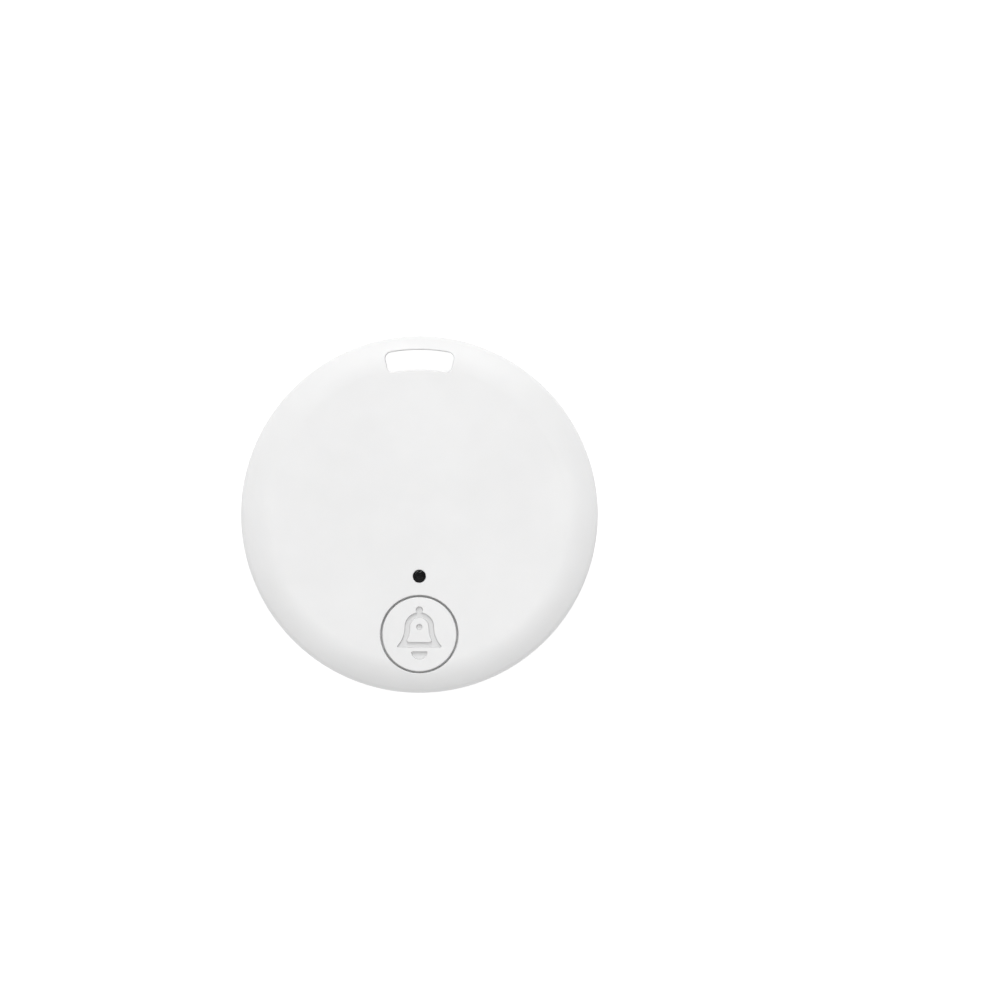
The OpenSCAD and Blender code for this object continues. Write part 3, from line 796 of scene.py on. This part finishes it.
def rear_cover():
    lead, edge = 0.12, 0.06
    profile = vectors((0, 0), (FLAT_R * 0.5, 0)) + rounding()
    profile += arc(CASE_R - SEAM_ROUND, SEAM_Z - SEAM_ROUND, SEAM_ROUND, 0, pi / 2, 5)
    profile += vectors((TONGUE_R, SEAM_Z), (TONGUE_R, TONGUE_TOP - lead), (TONGUE_R - lead, TONGUE_TOP),
                       (CAVITY_R + edge, TONGUE_TOP), (CAVITY_R, TONGUE_TOP - edge))
    profile += rounding(FACE_WALL, CAVITY_R)[::-1] + vectors((0, FACE_WALL))
    cover = to_object(made(lathe, profile, steps=CASE_STEPS), "rear_half")

    # The tongue is broken at the slot block and at the pry notch
    for half, middle in ((TONGUE_BREAK, 90), (degrees((PRY_W / 2 + 0.3) / TONGUE_R), degrees(PRY_ANGLE))):
        cut(cover, made(plate, sector(CAVITY_R - 0.4, CASE_R - 0.25, half, middle), SEAM_Z, TONGUE_TOP + 1))
    combine(cover, "UNION", bead_ring(BEAD_R, BEAD_SPAN))
    root_z = FACE_WALL / 2
    fittings = made(plate, sector(BLOCK_IN, CAVITY_R + BLOCK_OVERLAP, BLOCK_HALF), root_z, SEAM_Z)
    join_fittings(cover, fittings, rounding(root_z), root_z, 3.5)

    well = bmesh.new()
    wall = rounded([(WELL_IN, root_z, 0), (WELL_OUT, root_z, 0), (WELL_OUT, WELL_TOP, 0.12),
                    (WELL_IN, WELL_TOP, 0.2)])
    for start, span in ((15, 150), (195, 60), (285, 60)):
        lathe(well, wall, 0, CELL_Y, 72, radians(start), radians(span))
    combine(cover, "UNION", well)

    cut(cover, flared_cutter(slot_outline, SLOT_LIP, SEAM_Z + 1, front=False))
    cut(cover, pry_cutter(PRY_LOW, SEAM_Z + 2))
    smooth(cover, 28)
    polish_skin(cover)
    finish_piece(cover, "rear", WHITE, "cover_plastic", "rear_cover")


# ---- Button and sound hole ----

def bell_outline(inset=0.0):
    """A bell, anticlockwise from the right end of its hem."""
    dome, dome_y, hem_y, flare, corner = 1.5, 0.75, -1.35, 2.9, 0.3
    radius, bottom = flare + inset, hem_y + inset
    reach = asin((dome_y - bottom) / radius)
    side = arc(dome + flare, dome_y, radius, pi + reach, pi, 12)
    hem = side[0]
    right = [p for p in side if (p - hem).length > corner][:-1]
    bend = [hem + Vector((-corner, 0)), hem, hem + (right[0] - hem).normalized() * corner]
    turn = [bend[0] * (1 - t) ** 2 + bend[1] * 2 * t * (1 - t) + bend[2] * t * t
            for t in [i / 5 for i in range(6)]]
    top = arc(0, dome_y, dome - inset, 0, pi, 24)
    half = turn + right
    return half + top + [Vector((-p.x, p.y)) for p in half[::-1]]


def clapper_outline():
    """The half-round clapper under the bell."""
    radius, top, corner = 0.82, -1.8, 0.09
    bowl = [(p.x, p.y, 0) for p in arc(0, top, radius, pi, 2 * pi, 12)[1:-1]]
    return rounded([(-radius, top, corner)] + bowl + [(radius, top, corner)])


def button_cap():
    """The press button, with a bell pressed into its face: a sunken band round a level middle."""
    top, depth, lip, band = BUTTON_TOP, 0.3, 0.04, 0.52
    flange_low, flange_high, flange_r, flange_limit = 3.7, 4.0, BUTTON_HOLE_R + 0.55, 16.5
    core_in, core_out, core_top, nub_r, nub_low = 1.4, 3.1, 4.25, 0.8, 3.17
    at = Matrix.Translation((0, BUTTON_Y, 0))
    profile = rounded([(0, top, 0), (BUTTON_R, top, 0.12), (BUTTON_R, flange_high, 0.03),
                       (flange_r, flange_high, 0.05), (flange_r, flange_low, 0.05),
                       (core_out, flange_low, 0.03), (core_out, core_top, 0.08), (core_in, core_top, 0.08),
                       (core_in, flange_low, 0.03),
                       (nub_r, flange_low, 0.05), (nub_r, nub_low, 0.08), (0, nub_low, 0)])
    cap = to_object(made(lathe, profile, 0, BUTTON_Y, 144), "press_button")
    trim = vectors((flange_limit, 3), (flange_limit + 3, 3), (flange_limit + 3, flange_high + 0.02),
                   (flange_limit, flange_high + 0.02))
    cut(cap, made(lathe, trim, steps=96, start=radians(240), span=radians(60)))

    def sunken(outline):
        """A cutter for a shallow recess with soft edges at its mouth and at its floor."""
        slope = ((-0.06, 1), (-0.04, 0.95), (-0.015, 0.82), (0, 0.35), (0.015, 0.08))
        layers = [(growth, top - depth * share) for growth, share in slope]
        return made(stack, outline, layers + [(lip, top + 0.004), (lip, top + 1)], at)

    for outline in (bell_outline(), clapper_outline(), circle(0, 2.5, 0.36, 32)):
        cut(cap, sunken(outline))
    slope = ((0.04, 0.96), (0.01, 0.8), (0, 0.4), (-0.02, 0.12))
    layers = [(0.04, top - depth - 0.1)] + [(growth, top - depth * share) for growth, share in slope]
    combine(cap, "UNION", made(stack, bell_outline(band), layers + [(-0.06, top - 0.004)], at))
    cut(cap, sunken(circle(0, 0.75, 0.3, 32)))
    smooth(cap, 40)
    finish_piece(cap, "button", WHITE_BUTTON, "button_plastic", "button_cap")


def sound_mesh():
    """Black woven mesh in a thin round rim behind the sound hole."""
    low, high = node_box("sound_mesh")
    middle, radius = (low + high) / 2, (high.x - low.x) / 2
    rim_in, pitch, thread, lift = radius - 0.2, 0.1, 0.034, 0.024
    rim = rounded([(rim_in, low.z, 0.03), (radius, low.z, 0.03), (radius, high.z, 0.03),
                   (rim_in, high.z, 0.03)], 3)
    bm = made(lathe, rim, middle.x, middle.y, 64)
    inside = radius - 0.17
    count = int(inside / pitch)
    for across in (False, True):
        for k in range(-count, count + 1):
            side = k * pitch
            reach = sqrt(inside ** 2 - side ** 2)
            steps = max(4, int(2 * reach / pitch) * 3)
            loops = []
            for i in range(steps + 1):
                along = -reach + 2 * reach * i / steps
                phase = pi * (along / pitch) + pi * (k % 2) + pi * across
                section = circle(side, middle.z + lift * cos(phase), thread, 6)
                loops.append([middle.xy.to_3d() + Vector((p.x, along, p.y) if across else (along, p.x, p.y))
                              for p in section])
            loft(bm, loops)
    make_piece(bm, "sound_hole_mesh", "front", MESH_BLACK, "black_mesh", "sound_mesh")


# ---- Board and its fasteners ----

def tinned(bm, name, *nodes):
    make_piece(bm, name, "front", TIN, "tin_plating", *nodes)


def flat_ring(bm, x, y, inner, outer, low, high, steps):
    lathe(bm, vectors((inner, low), (outer, low), (outer, high), (inner, high)), x, y, steps)


def board():
    low, high = BOARD_LOW - 1, BOARD_HIGH + 1
    holes = [cylinder(0, CELL_Y, BOARD_CUT_R, low, high, 160)]
    holes += [made(block, (-20, BOARD_END_Y, 0), (20, 20, 4))]
    holes += [cylinder(x, y, 0.7, low, high, 32) for x, y in SCREW_SPOTS]
    holes += [cylinder(x, y, VIA_R, low, high, 12) for x, y in VIAS]
    bm = made(plate, circle(0, 0, BOARD_R, 192), BOARD_LOW, BOARD_HIGH, 0.03, 0.03)
    make_piece(bm, "circuit_board", "front", MASK, "circuit_board", "main_board", cuts=holes)

    sunk, track, pad = 0.01, 0.02, 0.03
    copper = bmesh.new()
    for width, path in TOP_TRACES:
        ribbon(copper, path, width, BOARD_HIGH - sunk, BOARD_HIGH + track)
    for width, path in UNDER_TRACES:
        ribbon(copper, path, width, BOARD_LOW - track, BOARD_LOW + sunk)
    make_piece(copper, "board_traces", "front", MASKED_COPPER, "circuit_board")

    pads = bmesh.new()
    for x, y in VIAS:
        flat_ring(pads, x, y, VIA_R, 2 * VIA_R, BOARD_LOW - pad, BOARD_LOW + sunk, 20)
        flat_ring(pads, x, y, VIA_R, 2 * VIA_R, BOARD_HIGH - sunk, BOARD_HIGH + pad, 20)
    for x, y in SCREW_SPOTS:
        flat_ring(pads, x, y, 0.95, 1.18, BOARD_LOW - pad, BOARD_LOW + sunk, 40)
    for k in range(6):
        test_point = circle(-3.2 + 1.28 * k, -15.1 + 0.12 * abs(k - 2.5), 0.4, 28)
        plate(pads, test_point, BOARD_LOW - pad, BOARD_LOW + sunk)
    make_piece(pads, "board_pads", "front", PAD_GOLD, "contact_plating")


def screws():
    """Pan-head screws with a cross recess and a fine thread."""
    head_low, head_r, head_round, recess = BOARD_LOW - 0.4, 1.0, 0.22, 0.22
    shank_r, root_r, pitch, end = 0.6, 0.5, 0.24, ROOF_Z - 0.4
    profile = vectors((0, head_low))
    profile += arc(head_r - head_round, head_low + head_round, head_round, -pi / 2, 0, 5)
    profile += vectors((head_r, BOARD_LOW), (shank_r - 0.02, BOARD_LOW))
    z = BOARD_HIGH + 0.05
    while z + pitch < end - 0.15:
        profile += vectors((root_r, z), (shank_r, z + pitch * 0.5))
        z += pitch
    profile += vectors((root_r, z), (root_r - 0.1, end), (0, end))
    bm, slots = bmesh.new(), []
    for x, y in SCREW_SPOTS:
        lathe(bm, profile, x, y, 40)
        for turn in (pi / 5, pi / 5 + pi / 2):
            at = Matrix.Translation((x, y, 0)) @ Matrix.Rotation(turn, 4, "Z")
            corners = (-0.62, -0.13, head_low - 1), (0.62, 0.13, head_low + recess)
            slots.append(made(block, *corners, 0.04, 0.02, at))
    make_piece(bm, "screw_set", "front", STEEL, "screw_steel", "board_screws", cuts=slots)


# ---- Coin cell ----

def cell():
    """A coin cell: a can turned in over its seal, and a cap that stands a little proud of it."""
    base, r = FACE_WALL + 0.1, CELL_R

    def turned(name, material, slot, node, *corners):
        bm = made(lathe, shifted(rounded(corners, 5), 0, base), 0, CELL_Y, 160)
        make_piece(bm, name, "cell", material, slot, node)

    turned("coin_cell_can", CELL_NICKEL, "cell_steel", "cell_can",
           (0, 0, 0), (r, 0, 0.3), (r, 2.93, 0.38), (r - 0.75, 2.95, 0.04), (r - 0.75, 2.77, 0.04),
           (r - 0.25, 2.62, 0.2), (r - 0.25, 0.25, 0.12), (0, 0.25, 0))
    turned("coin_cell_seal", NYLON, "cell_gasket", "cell_gasket",
           (r - 0.6, 0.28, 0.03), (r - 0.3, 0.28, 0.1), (r - 0.3, 2.5, 0.2), (r - 0.8, 2.73, 0.03),
           (r - 0.8, 3.0, 0.04), (r - 1.05, 3.0, 0.06), (r - 1.05, 2.65, 0.03), (r - 0.6, 2.35, 0.05))
    turned("coin_cell_cap", CELL_NICKEL, "cell_steel", "cell_cap",
           (0, 3.2, 0), (r - 1.5, 3.2, 0.2), (r - 1.13, 2.62, 0.06), (r - 0.65, 2.3, 0.08),
           (r - 0.65, 0.5, 0.04), (r - 0.9, 0.5, 0.04), (r - 0.9, 2.15, 0.1), (r - 1.38, 2.45, 0.1),
           (r - 1.62, 2.95, 0.1), (0, 2.95, 0))
    film = made(plate, circle(0, CELL_Y, 7, 96), FACE_WALL, base - 0.005, 0.02, 0)
    make_piece(film, "cell_liner_film", "rear", FILM, "liner_film", "cell_liner")


# ---- Battery contacts ----

def contacts():
    """Spring bronze bent from sheet: a long leaf over the cell and two fingers at its edge."""
    sheet, leaf_z, leaf_end, clip_end = 0.12, 4.18, 13.8, 13.45
    foot_z, bend_r = BOARD_HIGH + sheet / 2, CELL_R + 1.26
    at = Matrix.Translation((0, CELL_Y, 0))
    path = rounded([(leaf_end, foot_z, 0), (bend_r, foot_z, 0.22), (bend_r, leaf_z, 0.22), (8, leaf_z, 0),
                    (4, leaf_z, 0), (0.4, leaf_z, 0)], 6)
    widths = [3.2 if p.x > CELL_R else 2 + 1.2 * p.x / CELL_R for p in path]
    tip = made(plate, circle(0, 0, 1.0, 48), leaf_z - sheet / 2, leaf_z + sheet / 2, 0.02, 0.02, at)
    bowl = [Vector((p.x, max(p.y, 4.0101))) for p in arc(0, 4.6, 0.59, -pi / 2, -0.5, 8) if p.y < 4.17]
    dimple = made(lathe, bowl + vectors((0, 4.17)), 0, CELL_Y, 40)
    slit = made(plate, shifted(rectangle(6.5, 0.5, 0.24, 6), 5.45, 0), 4, 5, at=at)
    make_piece(made(bent_strip, path, widths, sheet, at), "negative_leaf", "front", SPRING_GOLD,
               "contact_plating", "negative_contact", adds=(tip, dimple), cuts=(slit,))

    left = at @ Matrix.Rotation(pi, 4, "Z")
    inner = CELL_R + 0.05 + sheet / 2
    path = rounded([(clip_end, foot_z, 0), (inner, foot_z, 0.2), (inner, 3.5, 0)], 6)
    gap = made(block, (CELL_R - 1, -0.25, BOARD_HIGH + 0.3), (CELL_R + 1, 0.25, 5), 0.03, 0.2, left)
    make_piece(made(bent_strip, path, 3, sheet, left), "positive_fingers", "front", SPRING_GOLD,
               "contact_plating", "positive_contact", cuts=(gap,))

    solder = bmesh.new()
    for turn, near, far, half in ((at, 12.0, leaf_end, 1.6), (left, 11.4, clip_end, 1.5)):
        for side in (-1, 1):
            edge, out = side * half, side * (half + 0.3)
            foot = vectors((near, out), (far, out), (far, edge), (near, edge))[::side]
            slope = [p.lerp(Vector((p.x, edge)), 0.75) for p in foot]
            crest = [Vector((p.x, side * (half + 0.005 * (i + 1)))) for i, p in enumerate(foot)]
            loft(solder, [level(foot, BOARD_HIGH, turn), level(slope, BOARD_HIGH + 0.06, turn),
                          level(crest, BOARD_HIGH + 0.11, turn)])
    tinned(solder, "contact_solder")


# ---- Press switch and status light ----

def press_switch():
    at = Matrix.Translation((0, BUTTON_Y, 0))
    base_top = BOARD_HIGH + 0.55
    outline = rectangle(4, 3, 0.3, 6)
    well = made(plate, circle(0, 0, 1.25, 56), BOARD_HIGH + 0.15, base_top + 1, at=at)
    make_piece(made(plate, outline, BOARD_HIGH, base_top, 0, 0.05, at), "switch_housing", "front", BLACK,
               "black_moulding", "switch_base", cuts=(well,))
    hole = made(plate, circle(0, 0, 0.8, 48), base_top - 1, base_top + 1, at=at)
    frame_plate = made(plate, grown(outline, -0.03), base_top, base_top + 0.1, 0.03, 0, at)
    make_piece(frame_plate, "switch_cover", "front", STEEL, "tin_plating", "switch_frame", cuts=(hole,))

    legs, solder = bmesh.new(), bmesh.new()
    leg_y, leg_high, leg_low = 0.95, BOARD_HIGH + 0.22, BOARD_HIGH + 0.07
    path = rounded([(1.9, leg_high, 0), (2.2, leg_high, 0.06), (2.3, leg_low, 0.06), (2.7, leg_low, 0)], 4)
    for x in (-1, 1):
        for y in (-1, 1):
            turn = at @ Matrix.Diagonal((x, y, 1, 1))
            bent_strip(legs, path, 0.5, 0.11, turn @ Matrix.Translation((0, leg_y, 0)))
            stack(solder, shifted(rectangle(0.4, 0.66, 0.1), 2.62, leg_y),
                  ((0.14, BOARD_HIGH), (0.03, BOARD_HIGH + 0.03), (-0.06, BOARD_HIGH + 0.075)), turn)
    tinned(legs, "switch_legs", "switch_terminals")
    for side in (-1, 1):
        stack(solder, shifted(rectangle(0.3, 0.74, 0.08), side * 0.85, LIGHT_Y),
              ((0.12, BOARD_HIGH), (0.03, BOARD_HIGH + 0.05), (-0.05, BOARD_HIGH + 0.13)))
    tinned(solder, "top_solder")

    low, high, collar_r, plunger_r = BOARD_HIGH + 0.42, BOARD_HIGH + 0.95, 1.0, 0.7
    profile = rounded([(0, low, 0), (collar_r, low, 0.04), (collar_r, low + 0.12, 0.04),
                       (plunger_r, low + 0.12, 0.02), (plunger_r, high, 0.12), (0, high, 0)], 5)
    make_piece(made(lathe, profile, 0, BUTTON_Y, 56), "switch_button", "plunger", GREY, "plunger_plastic",
               "switch_plunger")


def status_light():
    lens_low = BOARD_HIGH + 0.25
    housing = made(block, (-0.8, LIGHT_Y - 0.4, BOARD_HIGH), (0.8, LIGHT_Y + 0.4, lens_low), 0.04, 0.03)
    make_piece(housing, "light_housing", "front", LED_WHITE, "led_body", "led_base")
    lens = made(block, (-0.53, LIGHT_Y - 0.38, lens_low), (0.53, LIGHT_Y + 0.38, BOARD_HIGH + 0.6), 0.06, 0.1)
    make_piece(lens, "light_lens", "front", RESIN, "led_resin", "led_lens")


# ---- Sounder ----

def sounder():
    place = Vector((BUZZER_OUT * cos(BUZZER_ANGLE), BUZZER_OUT * sin(BUZZER_ANGLE), BOARD_HIGH))
    at = Matrix.Translation(place) @ Matrix.Rotation(BUZZER_ANGLE, 4, "Z")
    square = rectangle(BUZZER_SIDE, BUZZER_SIDE, 0.4, 6)

    def turned(name, material, slot, node, profile, steps):
        make_piece(made(lathe, profile, steps=steps, at=at), name, "front", material, slot, node)

    make_piece(made(plate, grown(square, -0.05), 0, 0.27, 0, 0.04, at), "sounder_base", "front", BLACK,
               "black_moulding", "buzzer_base")
    bore = made(plate, circle(0, 0, 2.1, 64), -1, 1.75, at=at)
    flare = vectors((0.5, 0.5), (0.5, 1.93), (0.59, 2.01), (0.59, 3), (0, 3), (0, 0.5))
    port = made(lathe, flare, steps=40, at=at @ Matrix.Translation((1, 0, 0)))
    make_piece(made(plate, square, 0.3, 2.0, 0.14, 0.03, at, 5), "sounder_case", "front", BLACK,
               "black_moulding", "buzzer_case", cuts=(bore, port))

    low, high, step, disc_r = 1.3, 1.35, 0.03, 2.07
    disc = vectors((0, low), (0.6, low), (0.62, low - step), (1.2, low - step), (1.22, low), (disc_r, low),
                   (disc_r, high), (1.25, high), (1.2, high - step), (0.63, high - step), (0.6, high),
                   (0, high))
    turned("sounder_disc", STEEL, "tin_plating", "buzzer_diaphragm", disc, 72)
    ring = rounded([(1.55, 0.4, 0.04), (2.0, 0.4, 0.04), (2.0, 1.2, 0.04), (1.55, 1.2, 0.04)])
    turned("sounder_magnet", MAGNET, "magnet", "buzzer_magnet", ring, 64)

    coil_in, coil_out, coil_low, coil_h, layers = 0.57, 1.35, 0.42, 0.66, 7
    half = coil_h / layers / 2
    profile = vectors((coil_in, coil_low))
    for k in range(layers):
        profile += arc(coil_out, coil_low + coil_h * k / layers + half, half, -pi / 2, pi / 2, 5)
    profile += vectors((coil_in, coil_low + coil_h))
    turned("sounder_coil", COPPER_WIRE, "copper_wire", "buzzer_coil", profile, 56)
    yoke = rounded([(0, 0.3, 0), (2.05, 0.3, 0.02), (2.05, 0.4, 0.02), (0.5, 0.4, 0), (0.5, 1.15, 0.04),
                    (0, 1.15, 0)])
    turned("sounder_yoke", STEEL, "tin_plating", "buzzer_yoke", yoke, 56)

    solder = bmesh.new()
    for x in (-1, 1):
        for y in (-1, 1):
            foot = shifted(rectangle(0.5, 0.9, 0.08), x * (BUZZER_SIDE / 2 + 0.05), y * 1.5)
            stack(solder, foot, ((0.08, 0), (0, 0.05), (-0.1, 0.09)), at)
    tinned(solder, "sounder_solder")


# ---- Parts soldered under the board ----

def hung(x, y, turn=0.0):
    """A place on the board's underside, with +Z pointing away from the board."""
    return (Matrix.Translation((x, y, BOARD_LOW)) @ Matrix.Rotation(radians(turn), 4, "Z")
            @ Matrix.Rotation(pi, 4, "X"))


def two_ended(body, ends, solder, size, cap, at):
    """A small part with a tinned cap on each end and solder at its feet."""
    length, width, height = size
    reach = length / 2 - cap * 0.6
    side_y = width / 2 - 0.015
    block(body, (-reach, -side_y, 0.02), (reach, side_y, height - 0.015), 0.03, 0.03, at)
    for side in (-1, 1):
        inner, outer = sorted((side * (length / 2 - cap), side * length / 2))
        block(ends, (inner, -width / 2, 0.005), (outer, width / 2, height), 0.05, 0.05, at)
        foot = shifted(rectangle(0.3, width * 0.96, 0.06), side * (length / 2 + 0.02), 0)
        stack(solder, foot, ((0.1, 0), (0.02, 0.1 * height), (-0.1, 0.45 * height)), at)


def small_parts(solder):
    ends, film = bmesh.new(), bmesh.new()

    def soldered(spots, size, cap, name, *finish):
        body = bmesh.new()
        for spot in spots:
            two_ended(body, ends, solder, size, cap, hung(*spot))
        make_piece(body, name, "front", *finish)

    soldered(CAPACITOR_SPOTS, (1.6, 0.8, 0.8), 0.32, "ceramic_capacitors", TAN_CERAMIC, "capacitor_ceramic",
             "capacitors")
    soldered(RESISTOR_SPOTS, (1.0, 0.5, 0.33), 0.2, "chip_resistors", CERAMIC, "resistor_film", "resistors")
    for spot in RESISTOR_SPOTS:
        block(film, (-0.28, -0.21, 0.28), (0.28, 0.21, 0.35), 0.03, 0.01, hung(*spot))
    make_piece(film, "resistor_faces", "front", FILM_BLACK, "resistor_film")
    soldered(INDUCTOR_SPOTS, (1.0, 0.6, 0.5), 0.22, "chip_inductors", FERRITE, "inductor_ferrite",
             "inductors")
    tinned(ends, "tinned_ends")


def radio(solder):
    at = hung(9.5, -8)
    bowl = arc(0, 0.95, 0.32, -pi / 2, 0, 8) + vectors((0, 0.95))
    mark = made(lathe, bowl, steps=32, at=at @ Matrix.Translation((-1.9, -1.9, 0)))
    make_piece(made(plate, rectangle(5, 5, 0.06), 0.03, 0.75, 0.05, 0.02, at), "radio_package", "front",
               EPOXY, "chip_epoxy", "radio_chip", cuts=(mark,))
    legs = bmesh.new()
    for side in range(4):
        turn = at @ Matrix.Rotation(side * pi / 2, 4, "Z")
        for k in range(8):
            y = -1.75 + 0.5 * k
            block(legs, (2.2, y - 0.12, 0), (2.53, y + 0.12, 0.2), 0.02, 0.02, turn)
            foot = shifted(rectangle(0.3, 0.24, 0.04), 2.6, y)
            stack(solder, foot, ((0.04, 0), (0, 0.03), (-0.09, 0.09)), turn)
    tinned(legs, "radio_terminals")


def crystal():
    at = hung(14.2, -3.4)
    width, depth = 2.5, 2.0
    base = made(plate, rectangle(width, depth, 0.15), 0, 0.3, 0.02, 0.02, at)
    make_piece(base, "crystal_base", "front", CERAMIC, "antenna_ceramic")
    bm = made(plate, grown(rectangle(width, depth, 0.3, 5), -0.06), 0.29, 0.52, 0.05, 0, at)
    plate(bm, grown(rectangle(width, depth, 0.35, 5), -0.2), 0.5, 0.6, 0.05, 0, at)
    tinned(bm, "crystal_lid", "crystal")


def antenna(solder):
    """A ceramic block with tinned ends and a line that runs to and fro between them."""
    at = hung(14.6, 2.2)
    half, end_in, end_out, top = 0.8, 1.25, 1.6, 0.8
    make_piece(made(block, (0.02 - half, -1.5, 0.01), (half - 0.02, 1.5, top - 0.02), 0.04, 0.03, at),
               "antenna_block", "front", CERAMIC, "antenna_ceramic", "chip_antenna")
    silver = bmesh.new()
    for side in (-1, 1):
        low, high = sorted((side * end_in, side * end_out))
        block(silver, (-half, low, 0), (half, high, top), 0.04, 0.03, at)
        foot = shifted(rectangle(1.5, 0.3, 0.06), 0, side * (end_out + 0.04))
        stack(solder, foot, ((0.1, 0), (0.02, 0.08), (-0.1, 0.34)), at)
    reach = 0.55
    turns = [(-reach, -1.3)]
    for k in range(5):
        y, side = -0.85 + 0.42 * k, -1 if k % 2 else 1
        turns += [(-reach * side, y), (reach * side, y)]
    strip = made(ribbon, turns + [(reach, 1.3)], 0.14, top - 0.03, top)
    strip.transform(at)
    tinned(strip, "antenna_line")
    tinned(silver, "antenna_ends")


def driver():
    at = hung(-10.6, -10.6)
    package = made(block, (-0.78, -0.38, 0.03), (0.78, 0.38, 0.7), 0.05, 0.05, at)
    make_piece(package, "driver_package", "front", EPOXY, "chip_epoxy", "buzzer_driver")
    legs = bmesh.new()
    path = rounded([(0, 0.3, 0), (0.14, 0.3, 0.05), (0.2, 0.05, 0.05), (0.42, 0.05, 0)], 4)
    for x, side in ((-0.5, 1), (0.5, 1), (0, -1)):
        turn = at @ Matrix.Translation((x, side * 0.36, 0)) @ Matrix.Rotation(side * pi / 2, 4, "Z")
        bent_strip(legs, path, 0.26, 0.08, turn)
    tinned(legs, "driver_legs")


def under_board():
    solder = bmesh.new()
    small_parts(solder)
    radio(solder)
    crystal()
    antenna(solder)
    driver()
    tinned(solder, "under_solder")


# ---- Studio ----

def soft_light(name, place, size, power):
    """A round lamp that faces the origin."""
    light = bpy.data.lights.new(name, "AREA")
    light.shape = "DISK"
    light.size = size
    light.energy = power
    lamp = bpy.data.objects.new(name, light)
    lamp.location = place
    lamp.rotation_euler = (-Vector(place)).to_track_quat("-Z", "Y").to_euler()
    bpy.context.scene.collection.objects.link(lamp)


def studio():
    """A plain pale floor, soft light from above the top edge, and a camera that looks straight down."""
    sky, glow = 0.463, 0.8
    scene = bpy.context.scene
    scene.view_settings.view_transform = "Standard"
    world = bpy.data.worlds.new("studio")
    scene.world = world
    world.use_nodes = True
    background = world.node_tree.nodes["Background"]
    background.inputs["Color"].default_value = (1, 1, 1, 1)
    background.inputs["Strength"].default_value = sky

    floor = to_object(made(plate, rectangle(3000, 3000), -1, -0.02), "floor")
    floor.data.transform(Matrix.Scale(MM, 4))
    material, _, bsdf = shader("pale_floor", (0.3, 0.3, 0.3), 0.8)
    bsdf.inputs["Emission Color"].default_value = (1, 1, 1, 1)
    bsdf.inputs["Emission Strength"].default_value = glow
    floor.data.materials.append(material)
    soft_light("key", (0, 0.67, 0.67), 0.5, 3.96)
    soft_light("overhead", (0, 0, 1.5), 0.79, 6.1)
    soft_light("left", (-0.82, 0, 0.475), 0.5, 0.42)

    # The tag fills about a third of the picture's width and stands a little to the left of its middle
    lens, width_in_view, right, up = 400, 0.3565, 0.0805, 0.0145
    middle = (Vector(cad_low) + Vector(cad_high)) / 2
    camera_data = bpy.data.cameras.new("camera")
    camera_data.lens = lens
    view_width = 2 * CASE_R * MM / width_in_view
    distance = view_width * lens / camera_data.sensor_width
    camera = bpy.data.objects.new("camera", camera_data)
    camera.location = middle + Vector((right * view_width, up * view_width, distance))
    scene.collection.objects.link(camera)
    scene.camera = camera


front_shell()
rear_cover()
button_cap()
sound_mesh()
board()
screws()
cell()
contacts()
press_switch()
status_light()
sounder()
under_board()
for node, finish in (("cell_core", POWDER), ("switch_dome", STEEL)):
    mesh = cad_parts[node].data
    mesh.materials.clear()
    mesh.materials.append(finish)
studio()
